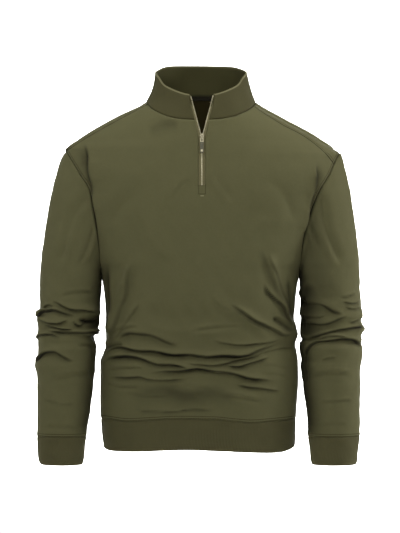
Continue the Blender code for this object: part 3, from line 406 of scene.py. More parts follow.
def creaseDepth(rows, x, z, ends=0.2):
    # sharp crease along a smooth line of points. Above it the cloth stands out by bulge x u x exp(1 - u)
    # with u = away / (0.34 x reach), below it dips by valley, and both fade at the ends.
    # The second result is how much painted shade the crease holds, from 0 to 1
    total, dusk = np.zeros_like(x), np.zeros_like(x)
    for i, (bulge, valley, reach, knots) in enumerate(rows.values()):
        knots = np.array(knots, float)
        knots = knots if knots[-1, 0] > knots[0, 0] else knots[::-1]
        run = lengthAlong(knots, 0)
        at = np.linspace(0.0, run[-1], max(8, int(run[-1] / 1.2)))
        line = np.stack([smoothCurve(run, knots[:, axis], at) for axis in (0, 1)], axis=1)
        tangent = unit(np.gradient(line, axis=0))
        margin = 3.0 * reach + 8.0
        near = ((x > line[:, 0].min() - margin) & (x < line[:, 0].max() + margin)
                & (z > line[:, 1].min() - margin) & (z < line[:, 1].max() + margin))
        spot = np.stack([x[near], z[near]], axis=1)
        nearest = nearestOf(spot, line)
        gap = spot - line[nearest]
        way = tangent[nearest]
        away = way[:, 0] * gap[:, 1] - way[:, 1] * gap[:, 0]
        away = away + 0.12 * reach * np.sin(at[nearest] / 11.0 + 2.1 * i)
        past = np.sqrt(np.maximum(np.sum(gap ** 2, axis=1) - away ** 2, 0.0))
        share = at[nearest] / run[-1]
        fade = smoothStep(np.minimum(share, 1.0 - share) / ends) * bell(past, 6.0)
        fade = fade * (1.0 + 0.16 * np.sin(at[nearest] / 19.0 + 2.3 * i))
        u = np.maximum(away, 0.0) / (0.34 * reach)
        above = 1.2 * bulge * u * np.exp(1.0 - u)
        below = 1.1 * valley * (0.8 * bell(away + 1.4, 2.2) + 0.4 * bell(away + 6.0, 6.0))
        total[near] -= fade * (above - below)
        # painted shade: dark along the crease line and softer in the valley below it
        shadeAndGrime = 0.9 * bell(away / reach - 0.05, 0.19) + 0.35 * bell(away / reach + 0.38, 0.5)
        dusk[near] = np.maximum(dusk[near], fade * shadeAndGrime * min(1.0, valley / 2.5))
    return total, dusk


def swells(points, size, seed):
    # low random waves in three directions, about one unit high
    local = np.random.default_rng(seed)
    total = np.zeros(points.shape[:-1])
    for _ in range(9):
        way = local.normal(size=3)
        way = way / np.linalg.norm(way) * (2.0 * math.pi / (size * local.uniform(0.6, 1.7)))
        total = total + np.sin(points @ way + local.uniform(0.0, 2.0 * math.pi)) / 3.0
    return total


bandPuff = 0.9  # mm, that a band or the collar stands up beside its seam


def seamPuff(distance, height=1.3, reach=2.2, run=11.0):
    # cloth dips to the seam itself and stands up beside it: height x (1 - exp(-(d / reach)^2)) x exp(-(d / run)^2)
    return -height * (1.0 - bell(distance, reach)) * bell(distance, run)


def zipDips(fromZip, fromNeck, rows):
    # cloth dips and rises where it is folded under and sewn: sum of depth x exp(-((d - at) / width)^2)
    dips = sum(depth * bell(fromZip - at, width) for depth, at, width in rows)
    return dips * smoothStep(fromNeck / zipForm["dipsFromNeck"])


frontFolds = {
    "creases": {
        # name: bulge, valley, reach, points across and up
        "beltUpper": (5.2, 2.8, 10, [(-197, -520), (-192, -507), (-182, -498), (-163, -494), (-133, -498), (-98, -501),
            (-60, -506), (-22, -508), (12, -510), (45, -510), (72, -510), (94, -508), (117, -500), (143, -489),
            (166, -481)]),
        "beltSecond": (2.8, 1.8, 7, [(-30, -524), (14, -528), (48, -525), (80, -517), (113, -509), (137, -498)]),
        "beltLeft": (4.4, 2.6, 9, [(-197, -529), (-180, -515), (-151, -511), (-119, -516), (-82, -526), (-44, -529),
            (-16, -537)]),
        "tongue": (3.2, 2.2, 7, [(52, -528), (76, -530), (100, -525), (122, -518), (140, -511)]),
        "beltLow": (4.4, 2.6, 9, [(-104, -544), (-70, -541), (-34, -538), (-6, -536), (34, -540), (72, -547),
            (110, -556), (153, -562)]),
        "leftLow": (2.6, 1.7, 7, [(-187, -556), (-161, -553), (-125, -552), (-102, -557), (-60, -558), (-22, -554)]),
        "rightLow": (2.8, 1.8, 7, [(72, -566), (100, -572), (133, -577), (164, -580)]),
        "rightThin": (2.2, 1.1, 7, [(22, -476), (50, -485), (80, -487), (113, -486), (143, -481), (171, -473)]),
        "arc": (3.8, 1.5, 14, [(-164, -481), (-150, -468), (-137, -463), (-110, -467), (-72, -479), (-42, -490)]),
        "low": (2, 1.3, 7, [(-134, -614), (-110, -620), (-66, -623), (-20, -619), (36, -617)]),
        "hipSide": (4.6, 1.7, 11, [(58, -402), (80, -419), (100, -432), (125, -447), (151, -460), (172, -468),
            (194, -466)]),
        "hipEdge": (3.4, 2, 8, [(126, -362), (138, -382), (152, -395), (166, -411), (176, -431), (188, -454)]),
        "hipHollow": (2.2, 0.9, 6, [(150, -439), (166, -448), (186, -462)]),
        "hipLow": (1.2, 0.7, 6, [(120, -505), (146, -499), (170, -494), (194, -495)]),
        "leftLean": (5, 0.8, 16, [(-183, -486), (-172, -452), (-160, -420), (-150, -390), (-143, -350),
            (-138, -318)]),
        "leftLeanSecond": (3, 0.4, 11, [(-176, -482), (-160, -460), (-145, -441), (-132, -420), (-121, -400)]),
        "leftArmhole": (4, 2.8, 18, [(-236, -76), (-231, -104), (-226, -134), (-222, -162), (-219, -194),
            (-215, -225)]),
        "rightArmhole": (4.6, 3, 13, [(212, -272), (218, -236), (223, -211), (229, -189), (234, -167), (238, -144),
            (239, -114)]),
        "rightDrag": (2.6, 0.8, 13, [(184, -428), (172, -395), (158, -360), (146, -328), (138, -300)]),
    },
    "hollows": [
        (-186, -320, -190, -486, 2, 5, 7), (146, -430, 194, -464, 0, 6, 6), (178, -350, 190, -440, 0, 4, 6),
        (-196, -500, -150, -486, 4, 3, 6), (-150, -584, 85, -592, 4, 3.8, 27), (-110, -54, -40, -40, 0, 2, 18),
    ],
    "broad": [
        (-186, -478, -128, -305, 8, -3, 11),
        (186, -432, 138, -300, -8, -4, 10), (150, -462, 20, -380, -10, -3, 11),
        (-120, -440, 60, -452, -14, -2.6, 16), (-60, -575, 120, -590, 6, -2.5, 14),
        (-190, -250, -120, -140, -8, 2, 18), (196, -240, 130, -150, 8, 2, 18),
        (60, -330, 150, -220, 6, -2, 20), (-50, -330, -130, -210, -6, -2, 20),
    ],
    "fine": [
        (-190, -540, -110, -536, 4, 2.4, 3.6), (90, -533, 188, -541, 7, 1, 3.8),
        (-188, -470, -120, -452, 5, 2.4, 4.2), (-20, -462, 90, -452, 5, 2.2, 4.4),
        (-150, -585, -60, -592, -4, 2, 4.6), (30, -592, 130, -604, 5, 2, 4.6), (-70, -570, 30, -577, 4, 2.2, 4.6),
        (188, -420, 160, -340, -4, 2.4, 5), (-190, -566, -120, -572, -4, 2.2, 4),
        (120, -548, 190, -560, 5, 1, 4), (-60, -205, -20, -150, 3, 1.2, 7), (70, -200, 28, -140, -3, 1.2, 7),
    ],
    # painted shade along lines: start x, start z, end x, end z, bow, share, width
    "shade": [(-235, -82, -222, -192, 0, 0.42, 8), (237, -134, 226, -222, 0, 0.88, 5.4),
              (117, -286, 174, -418, 0, 0.3, 9)],
    "swell": 1.1,
}
backFolds = {
    "creases": {
        "waistUpper": (3.6, 2.2, 9, [(-184, -500), (-150, -492), (-104, -494), (-50, -503), (6, -508), (60, -504),
            (110, -494)]),
        "waistLower": (3.4, 2, 9, [(-70, -534), (-20, -540), (40, -542), (98, -534), (150, -522), (186, -516)]),
        "rightSide": (3.2, 2, 9, [(186, -470), (160, -458), (132, -444), (104, -424), (80, -398)]),
        "leftSide": (3, 2, 8, [(-60, -412), (-92, -432), (-126, -452), (-158, -466), (-188, -474)]),
        "lower": (2.4, 1.5, 8, [(-150, -566), (-98, -572), (-44, -570), (12, -576), (66, -574)]),
    },
    "hollows": [(150, -440, 190, -466, 0, 4, 8), (-190, -470, -150, -446, 0, 4, 8)],
    "main": [
        (-180, -520, 40, -512, 14, 5.5, 12), (-60, -560, 180, -548, -12, 5.5, 12),
        (-150, -470, 120, -476, 10, 4.5, 13), (150, -450, 90, -330, 6, 4.5, 14),
        (-160, -440, -100, -320, -6, 4.5, 14),
    ],
    "broad": [
        (-190, -470, -120, -320, 8, -4, 12), (190, -470, 120, -310, -8, -4, 12),
        (-100, -450, 100, -456, 12, -3, 16), (-120, -580, 100, -592, -8, -2.5, 15),
        (-30, -200, -50, -60, 4, 1.5, 20), (-150, -110, -60, -170, 6, 1.8, 18),
        (150, -110, 60, -180, -6, 1.8, 18),
    ],
    "fine": [
        (-170, -500, -80, -494, 6, 3, 6), (20, -498, 130, -490, -8, 3.2, 6.5),
        (-120, -540, -20, -548, 8, 2.8, 6), (70, -528, 180, -520, 6, 3, 6),
        (-190, -560, -110, -574, -5, 2.4, 6), (-60, -600, 60, -606, 4, 2, 6),
        (110, -590, 180, -600, -3, 2, 6), (-60, -440, 60, -446, 8, 2.4, 8),
        (-40, -120, -30, -300, 6, 2, 12), (50, -110, 60, -280, -6, 2, 12),
        (-190, -250, -130, -330, 6, 2.4, 9), (190, -240, 130, -320, -6, 2.4, 9),
    ],
    # painted shade along lines: start x, start z, end x, end z, bow, share, width
    "shade": [(-196, -150, -190, -420, 0, 0.25, 16), (204, -150, 190, -420, 0, 0.25, 16)],
    "swell": 1.4,
}


def linear(code, alpha=1.0):
    # hex code as linear light
    channels = [int(code[i:i + 2], 16) / 255.0 for i in (0, 2, 4)]
    return [c / 12.92 if c <= 0.04045 else ((c + 0.055) / 1.055) ** 2.4 for c in channels] + [alpha]


def gridFaces(rows, columns, closed=False):
    # quads of a grid of points, wound so that rows upward and columns to the right face the viewer
    j = np.arange(columns if closed else columns - 1)
    k = (j + 1) % columns
    i = np.arange(rows - 1)[:, None] * columns
    return np.stack([i + j, i + k, i + k + columns, i + j + columns], axis=-1).reshape(-1, 4)


def gridNormals(points, faces):
    # normal of each point: the sum of its quads' normals, each as long as its quad is large
    turned = np.cross(points[faces[:, 2]] - points[faces[:, 0]], points[faces[:, 3]] - points[faces[:, 1]])
    normals = np.zeros_like(points)
    for corner in range(4):
        np.add.at(normals, faces[:, corner], turned)
    return unit(normals)


def sheetNormals(grid, faces, levelRow):
    # normals of a sheet's points, level along the row that meets a band
    normals = gridNormals(grid.reshape(-1, 3), faces).reshape(grid.shape)
    normals[levelRow, :, 2] = 0.0
    return unit(normals).reshape(-1, 3)


def addObject(name, data):
    # hangs a new object in the scene
    obj = bpy.data.objects.new(name, data)
    bpy.context.scene.collection.objects.link(obj)
    return obj


def makeMesh(name, points, faces, material, attributes=None, body="garment", smooth=True):
    # piece from points in millimetres, with a value at each point for what the material reads, riding on a body
    mesh = bpy.data.meshes.new(name)
    mesh.from_pydata((np.asarray(points) * mm).tolist(), [], [tuple(f) for f in faces])
    mesh.validate()
    for key, values in (attributes or {}).items():
        layer = mesh.attributes.new(key, "FLOAT", "POINT")
        layer.data.foreach_set("value", np.ravel(values).astype(np.float32))
    mesh.polygons.foreach_set("use_smooth", np.full(len(mesh.polygons), smooth))
    mesh.materials.append(material)
    mesh.update()
    piece = addObject(name, mesh)
    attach(piece, body)
    return piece


def makeShell(name, points, faces, normals, wall, material, attributes):
    # outer sheet, inner sheet one wall further in, and a strip round every open edge
    count = len(points)
    edges = np.concatenate([faces[:, [0, 1]], faces[:, [1, 2]], faces[:, [2, 3]], faces[:, [3, 0]]])
    keys = edges[:, 0].astype(np.int64) * count + edges[:, 1]
    back = edges[:, 1].astype(np.int64) * count + edges[:, 0]
    rim = edges[~np.isin(keys, back)]
    strip = np.stack([rim[:, 1], rim[:, 0], rim[:, 0] + count, rim[:, 1] + count], axis=1)
    solid = np.concatenate([faces, faces[:, ::-1] + count, strip])
    doubled = {key: np.concatenate([values, values]) for key, values in attributes.items()}
    doubled["inner"] = np.concatenate([np.zeros(count), np.ones(count)])
    return makeMesh(name, np.vstack([points, points - normals * wall]), solid, material, doubled)


def dropUnused(points, faces, *extra):
    # only the points that a face uses, and their rows of the other arrays
    used = np.unique(faces)
    place = np.full(len(points), -1)
    place[used] = np.arange(len(used))
    return (points[used], place[faces]) + tuple(values[used] for values in extra)


def addNode(tree, kind, output, feeds, **settings):
    # adds a node with its properties and sockets set by name, and gives one of its outputs. A feed that is a socket
    # is linked, and any other is a value
    node = tree.nodes.new("ShaderNode" + kind)
    for key, value in settings.items():
        if hasattr(node, key):
            setattr(node, key, value)
        else:
            node.inputs[key.replace("_", " ")].default_value = value
    for key, source in feeds.items():
        if isinstance(source, bpy.types.NodeSocket):
            tree.links.new(source, node.inputs[key])
        else:
            node.inputs[key].default_value = source
    return node.outputs[output]


def newMaterial(name, **sockets):
    # material with one principled shader, whose sockets are set by name
    material = bpy.data.materials.new(name)
    material.use_nodes = True
    shader = material.node_tree.nodes["Principled BSDF"]
    for key, value in sockets.items():
        shader.inputs[key.replace("_", " ")].default_value = value
    return material, material.node_tree, shader


knitLook = {
    # inside is the inner sheet's colour, made dark as painted shade inside the garment
    "body": "575539", "shade": "47452B", "worn": "656247", "inside": "352F16", "seam": "26240F", "thread": "3B3822",
    "waleSpacing": 2.2,  # mm; real wales are about 0.9 mm apart, too fine to show, so they are drawn coarser
    # dusk is the colour of the painted shade in creases, hollows and the sides in shade, laid on by up to duskShare
    "mottle": 38.0, "lint": 5.0, "lintGrey": 0.46, "dusk": "14120A", "duskShare": 0.95,
    # edge is the pale colour of the painted highlight on the collar's rolled edge, and of the bar of thread below the
    # zip's foot
    "roughness": 0.88, "sheen": 0.08, "sheenTint": "8C8768", "edge": "8F8B68", "ribSpacing": 3.0,
    # rows of stitches: distances from a seam and from the shoulder seam, and one stitch with its gap
    "rows": (1.9, 6.2), "shoulderRow": 5.4, "stitchPitch": 3.4,
}
# stitched box that closes the zip's foot, and the short bar of thread below it: middle x, z, half width, half height
zipBox = {"box": (4.1, -174.0, 6.9, 9.3), "bar": (4.4, -187.0, 3.2, 0.7)}


def boxDistance(tree, place, box):
    # distance outside a level box in the front view: max(|x - middle| - half width, |z - middle| - half height)
    sides = []
    for axis, middle, half in (("X", box[0], box[2]), ("Z", box[1], box[3])):
        off = addNode(tree, "SeparateXYZ", axis, {"Vector": place})
        off = addNode(tree, "Math", "Value", {0: off, 1: middle * mm}, operation="SUBTRACT")
        off = addNode(tree, "Math", "Value", {0: off}, operation="ABSOLUTE")
        sides.append(addNode(tree, "Math", "Value", {0: off, 1: half * mm}, operation="SUBTRACT"))
    return addNode(tree, "Math", "Value", dict(enumerate(sides)), operation="MAXIMUM")


def knitMaterial(name, look, ribbed=False, foot=None):
    # brushed cotton jersey: matt with a slight nap that lightens at grazing angles, faint wales up the cloth
    material, tree, shader = newMaterial(
        name, Roughness=look["roughness"], Sheen_Weight=look["sheen"], Sheen_Roughness=0.45,
        Sheen_Tint=linear(look["sheenTint"]), Specular_IOR_Level=0.12)
    place = addNode(tree, "TexCoord", "Object", {})
    maps = {key: addNode(tree, "Attribute", "Fac", {}, attribute_name=key)
            for key in ("inner", "dusk", "seam", "stitch", "drawn", "along", "across", "edge")}
    cloud = addNode(tree, "TexNoise", "Fac", {"Vector": place}, Scale=1000.0 / look["mottle"], Detail=3.0,
                    Roughness=0.55)
    lint = addNode(tree, "TexNoise", "Fac", {"Vector": place}, Scale=1000.0 / look["lint"], Detail=2.0)
    mottle = addNode(tree, "MapRange", "Result", {"Value": cloud}, From_Min=0.3, From_Max=0.7, To_Min=0.35,
                     To_Max=0.65)
    # share of painted shade, from the dusk attribute
    dusky = addNode(tree, "MapRange", "Result", {"Value": maps["dusk"]}, To_Max=look["duskShare"])
    # rows of stitches beside a seam: distance from the nearest row, and the place in a stitch and its gap
    nearest = far
    for source, distance in ((maps["stitch"], look["rows"][0]), (maps["stitch"], look["rows"][1]),
                             (maps["drawn"], look["shoulderRow"])):
        off = addNode(tree, "Math", "Value", {0: source, 1: distance}, operation="SUBTRACT")
        off = addNode(tree, "Math", "Value", {0: off}, operation="ABSOLUTE")
        nearest = addNode(tree, "Math", "Value", {0: nearest, 1: off}, operation="MINIMUM")
    dash = addNode(tree, "Math", "Value", {0: maps["along"], 1: 1.0 / look["stitchPitch"]}, operation="MULTIPLY")
    dash = addNode(tree, "Math", "Value", {0: dash}, operation="FRACT")
    drawnOff = addNode(tree, "Math", "Value", {0: maps["drawn"]}, operation="ABSOLUTE")
    seam = addNode(tree, "Math", "Value", {0: maps["seam"], 1: drawnOff}, operation="MINIMUM")
    # source, where its step starts and ends, and how high it goes
    steps = {key: addNode(tree, "MapRange", "Result", {"Value": source}, From_Min=start, From_Max=end, To_Max=top,
                          interpolation_type="SMOOTHSTEP")
             for key, (source, start, end, top) in {
                 "row": (nearest, 1.1, 0.4, 1.0), "dash": (dash, 0.98, 0.8, 1.0),
                 "sewn": (maps["seam"], 0.9, 0.2, 0.5), "shoulder": (drawnOff, 1.9, 0.6, 0.9),
                 "groove": (nearest, 0.0, 1.5, 1.0), "valley": (seam, 0.0, 2.6, 1.0)}.items()}
    # stitches get the thread colour, darker than the cloth: partly the thread's own tone, partly painted shade in the
    # grooves that the stitches pull in
    stitch = addNode(tree, "Math", "Value", {0: steps["row"], 1: steps["dash"]}, operation="MULTIPLY")
    crack = addNode(tree, "Math", "Value", {0: steps["sewn"], 1: steps["shoulder"]}, operation="MAXIMUM")
    # colours laid on one another: share, colour and how. Creases, hollows and sides in shade get painted shade (dusk),
    # and the rolled edge gets a painted highlight where it catches the light
    layers = [(0.22, addNode(tree, "Mix", "Result", {"Factor": mottle, "A": linear(look["shade"]),
                                                     "B": linear(look["worn"])}, data_type="RGBA"), "MIX"),
              (lint, (look["lintGrey"],) * 3 + (1.0,), "OVERLAY"), (maps["inner"], linear(look["inside"]), "MIX"),
              (dusky, linear(look["dusk"]), "MIX"), (stitch, linear(look["thread"]), "MIX")]
    if foot:
        ring = addNode(tree, "Math", "Value", {0: boxDistance(tree, place, foot["box"])}, operation="ABSOLUTE")
        ring = addNode(tree, "MapRange", "Result", {"Value": ring}, From_Min=0.0012, From_Max=0.0004, To_Max=0.55)
        crack = addNode(tree, "Math", "Value", {0: crack, 1: ring}, operation="MAXIMUM")
    layers += [(crack, linear(look["seam"]), "MIX"), (maps["edge"], linear(look["edge"]), "MIX")]
    if foot:
        bar = addNode(tree, "MapRange", "Result", {"Value": boxDistance(tree, place, foot["bar"])}, From_Min=0.0004,
                      From_Max=0.0, To_Max=0.7)
        layers.append((bar, linear(look["edge"]), "MIX"))
    colour = linear(look["body"])
    for share, over, way in layers:
        colour = addNode(tree, "Mix", "Result", {"Factor": share, "A": colour, "B": over}, data_type="RGBA",
                         blend_type=way)
    tree.links.new(colour, shader.inputs["Base Color"])
    # relief: nap, wales or ribs, the grooves that the stitches pull in, and the seam's valley
    pitch = look["ribSpacing"] if ribbed else look["waleSpacing"]
    wales = addNode(tree, "Math", "Value", {0: maps["across"], 1: 2.0 * math.pi / pitch}, operation="MULTIPLY")
    wales = addNode(tree, "Math", "Value", {0: wales}, operation="SINE")
    under = {}
    for height, strength, depth in ((lint, 0.25, 0.0006), (wales, 0.5, 0.0004) if ribbed else (wales, 0.16, 0.0002),
                                    (steps["groove"], 0.6, 0.0006), (steps["valley"], 0.8, 0.0012)):
        under = {"Normal": addNode(tree, "Bump", "Normal", {"Height": height} | under, Strength=strength,
                                   Distance=depth)}
    tree.links.new(under["Normal"], shader.inputs["Normal"])
    return material


bodyKnit = knitMaterial("olive brushed jersey", knitLook)
frontKnit = knitMaterial("olive brushed jersey with a zip foot", knitLook, foot=zipBox)
# the bands' colours are darker than the body's, partly as painted shade for the hem and cuffs low down
bandLook = dict(knitLook, body="4F4C32", shade="3A3724", worn="555137", thread="58543A", roughness=0.9)
ribKnit = knitMaterial("olive rib band", bandLook, ribbed=True)
# the collar's colours are the body's made darker: painted shade for the upright collar, which gets less light from
# above
collarLook = dict(knitLook, body="444129", shade="353320", worn="4C492F", seam="2C2A16", inside="39371F")
collarKnit = knitMaterial("olive double jersey", collarLook)


def armholePath(side):
    # the armhole's edge, up the front and down the back
    tip = torsoForm[sideName[side] + "Tip"]
    heights = np.linspace(torsoForm["armpit"], tip, 200)
    front, back = edgePoint(side, heights, False), edgePoint(side, heights[::-1], True)
    front[-1] = back[0] = shoulderTip(side)
    return np.concatenate([front, back[1:]])


def neckPath(side):
    # one side of the neck seam, from the zip to the middle of the back
    share = np.linspace(0.0, 1.0, 80)
    return np.concatenate([frontNeckLine(side, share[::-1]), backNeckLine(side, share)[1:]])


shoulderStitch = {
    # distance out from the middle, height
    "left": np.array([(100, 1), (106, -0.5), (150, -22.5), (195, -46.5), (238, -71), (270, -92)]),
    "right": np.array([(104, 0), (112, -6), (140, -24), (170, -42), (200, -57), (226, -73.5), (256, -99.5),
                       (276, -126)]),
}


def shoulderDistance(points, side):
    # signed distance from the forward shoulder seam, above it where positive, and the length along it
    rows = shoulderStitch[sideName[side]]
    x = np.linspace(rows[0, 0], rows[-1, 0], 120)
    distance, along = nearPath(points, frontPoint(side * x, curve(rows, x)))
    above = points[..., 2] > curve(rows, np.abs(points[..., 0]))
    return np.where(points[..., 1] > 0.0, far, np.where(above, distance, -distance)), along


# mm, except the share of shade. The valley and the shade fade in below their tops, and the valley out at its foot
armpitForm = {"depth": 4, "width": 5, "top": -150, "fadeIn": 70, "foot": -350, "fadeOut": 40,
              "shade": 0.8, "shadeWidth": 3.2, "shadeTop": -165, "shadeFadeIn": 60, "shadeBack": 5}


def armpitValley(distance, z):
    # the armhole sinks between the sleeve and the body low down: depth x exp(-(d / width)^2) x the two fades
    form = armpitForm
    fades = smoothStep((form["top"] - z) / form["fadeIn"]) * smoothStep((z - form["foot"]) / form["fadeOut"])
    return form["depth"] * bell(distance, form["width"]) * fades


def armpitDusk(distance, points):
    # shade beside the armhole's lower front: share x exp(-(d / width)^2) x its fade
    form = armpitForm
    front = np.where(points[..., 1] < form["shadeBack"], form["shade"], 0.0)
    return front * bell(distance, form["shadeWidth"]) * smoothStep(
        (form["shadeTop"] - points[..., 2]) / form["shadeFadeIn"])


# mm: swell and dip of each side, where the swell is highest, how wide both are, and how far cloth stays calm
tipShape = {"left": (0.4, 1.8), "right": (1.4, 7.2), "swellAt": 23, "swellWidth": 12, "dipWidth": 10, "calm": 13}


def tipRound(points, side):
    # the shoulder's tip is drawn in and the cloth round it stands up a little:
    # out x (swell x exp(-((d - swellAt) / swellWidth)^2) - dip x exp(-(d / dipWidth)^2))
    swell, dip = tipShape[sideName[side]]
    distance = np.linalg.norm(points - shoulderTip(side), axis=-1)[..., None]
    out = unit(np.array([0.6 * side, 0.0, 0.8]))
    return out * (swell * bell(distance - tipShape["swellAt"], tipShape["swellWidth"])
                  - dip * bell(distance, tipShape["dipWidth"]))


def tipCalm(points, side):
    # 0 at the shoulder's tip, 1 from about 25 mm away
    return 1.0 - bell(np.linalg.norm(points - shoulderTip(side), axis=-1), tipShape["calm"])


def hollowDusk(hollow, depth=9.0):
    # shade that a hollow holds: its depth / 9 mm, at most 1
    return np.clip(hollow / depth, 0.0, 1.0)


def panelFolds(folds, x, z):
    # depth of all folds of a panel at places of the front view, and the shade that they hold
    soft = sum(foldDepth(folds[kind], x, z) for kind in ("main", "broad", "fine") if kind in folds)
    hollow = foldDepth(folds["hollows"], x, z)
    sharp, dusk = creaseDepth(folds["creases"], x, z)
    shade = np.clip(foldDepth(folds["shade"], x, z), 0.0, 0.95)
    return soft + sharp + hollow, np.maximum.reduce([dusk, hollowDusk(hollow), shade])


panelForm = {
    # mm from a seam where folds and waves are whole; waves: share, size, seed; share of waves above the waist
    "foldClear": 9, "waveClear": 26, "waves": [(1, 120, 3), (0.45, 46, 7)], "chestShare": 0.35, "waistTop": -300,
    "waistFade": 160,
}


def halfPanel(side, back, folds):
    # one half as points, distance from a seam, length along it, way across, distance from the shoulder seam, and shade
    raw, lowCount = panelHalf(side, back)
    x, z = raw[..., 0], raw[..., 2]
    armhole, neck = armholePath(side), neckPath(side)
    fromNeck, fromTop = nearPath(raw, neck)[0], lengthAlong(raw, 0, fromEnd=True)
    fromEdge = np.where(z > torsoForm["armpit"], nearPath(raw, armhole)[0], lengthAlong(raw, 1))
    fromHem = z - torsoForm["hemSeam"]
    toSeam = np.minimum(np.minimum(fromEdge, fromNeck), fromHem)
    depth, dusk = panelFolds(folds, x, z)
    ease = smoothStep(np.minimum(toSeam, fromTop) / panelForm["foldClear"])
    depth, dusk = depth * ease, dusk * np.sqrt(ease)
    calm = smoothStep(toSeam / panelForm["waveClear"]) * smoothStep(fromTop / panelForm["waveClear"])
    waist = smoothStep((panelForm["waistTop"] - z) / panelForm["waistFade"])
    waist = panelForm["chestShare"] + (1.0 - panelForm["chestShare"]) * waist
    depth = depth + folds["swell"] * calm * waist * sum(
        share * swells(raw, size, seed) for share, size, seed in panelForm["waves"])
    depth = depth + seamPuff(toSeam) * tipCalm(raw, side) + armpitValley(fromEdge, z)
    if not back:
        dusk = np.maximum(dusk, armpitDusk(fromEdge, raw))
        slit = lowCount - 1 + ringRows + slitRows
        depth[slit:] += zipDips(lengthAlong(raw, 1, fromEnd=True), fromNeck, zipForm["frontDips"])[slit:]
    grid = raw - unit(outsideSlope(raw)) * depth[..., None] + tipRound(raw, side)
    grid[0, :, 2] = torsoForm["hemSeam"]
    fromSeam, along = nearestPath(raw, [armhole, neck])
    seam = np.minimum(fromSeam, fromHem)
    along = np.where(fromHem < fromSeam, lengthAlong(raw, 1), along)
    drawn, alongDrawn = shoulderDistance(raw, side)
    along = np.where(np.abs(drawn) < np.minimum(seam, 12.0), alongDrawn, along)
    return (grid, seam, along, x, drawn, dusk), lowCount


def middleStrip(left, right, folds):
    # the front's five columns below the zip, between its two halves
    share = np.linspace(0.0, 1.0, 7)[1:-1]
    leftEdge, rightEdge = left[0][:, -1], right[0][:, -1]
    z = 0.5 * (leftEdge[:, 2] + rightEdge[:, 2])
    x = leftEdge[:, :1] + (rightEdge[:, :1] - leftEdge[:, :1]) * share
    strip = frontPoint(x, z[:, None] + 0.0 * x)
    dip, dusk = panelFolds(folds, x, strip[..., 2])
    dip = dip * smoothStep((z - z[0]) / 14.0)[:, None]
    strip = strip - unit(outsideSlope(strip)) * dip[..., None]
    strip[..., 1] = leftEdge[:, 1:2] + (rightEdge[:, 1:2] - leftEdge[:, 1:2]) * share
    strip[0, :, 2] = torsoForm["hemSeam"]
    seam, drawn = (np.repeat(left[i][:, -1:], len(share), axis=1) for i in (1, 4))
    return strip, seam, x, x, drawn, dusk


def panelPiece(name, back, folds, material):
    # panel of two halves side by side, the front's joined by a strip below the zip, with a wall's thickness
    (left, lowCount), (right, _) = (halfPanel(side, back, folds) for side in (-1, 1))
    if back:
        parts = [np.concatenate([a, b[:, -2::-1]], axis=1) for a, b in zip(left, right)]
    else:
        strip = middleStrip(left, right, folds)
        parts = [np.concatenate([a, m, b[:, ::-1]], axis=1) for a, m, b in zip(left, strip, right)]
    grid = parts[0]
    columns = grid.shape[1]
    faces = gridFaces(*grid.shape[:2])
    if back:
        faces = faces[:, ::-1]
    else:
        # the slit for the zip is open from its foot up
        row, column = np.divmod(faces[:, 0], columns)
        first, slit = left[0].shape[1] - 1, lowCount - 1 + ringRows + slitRows
        faces = faces[~((row >= slit) & (column >= first) & (column < columns - first - 1))]
    points, faces, normals, seam, along, across, drawn, dusk = dropUnused(
        grid.reshape(-1, 3), faces, sheetNormals(grid, faces, 0), *(part.reshape(-1) for part in parts[1:]))
    # the collar's seam has no row of stitches beside it
    lowest, widest = torsoForm["neckZone"]
    stitch = np.where((points[:, 2] > lowest) & (np.abs(points[:, 0]) < widest), far, seam)
    piece = makeShell(name, points, faces, normals, torsoForm["wall"], material,
                      {"seam": seam, "stitch": stitch, "drawn": drawn, "along": along, "across": across, "dusk": dusk})
    return piece, (left, right), lowCount


frontPiece, frontHalves, lowRows = panelPiece("frontPanel", False, frontFolds, frontKnit)
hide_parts("front")
backPiece, _, _ = panelPiece("backPanel", True, backFolds, bodyKnit)
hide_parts("back")
print("panels:", len(frontPiece.data.polygons), len(backPiece.data.polygons))


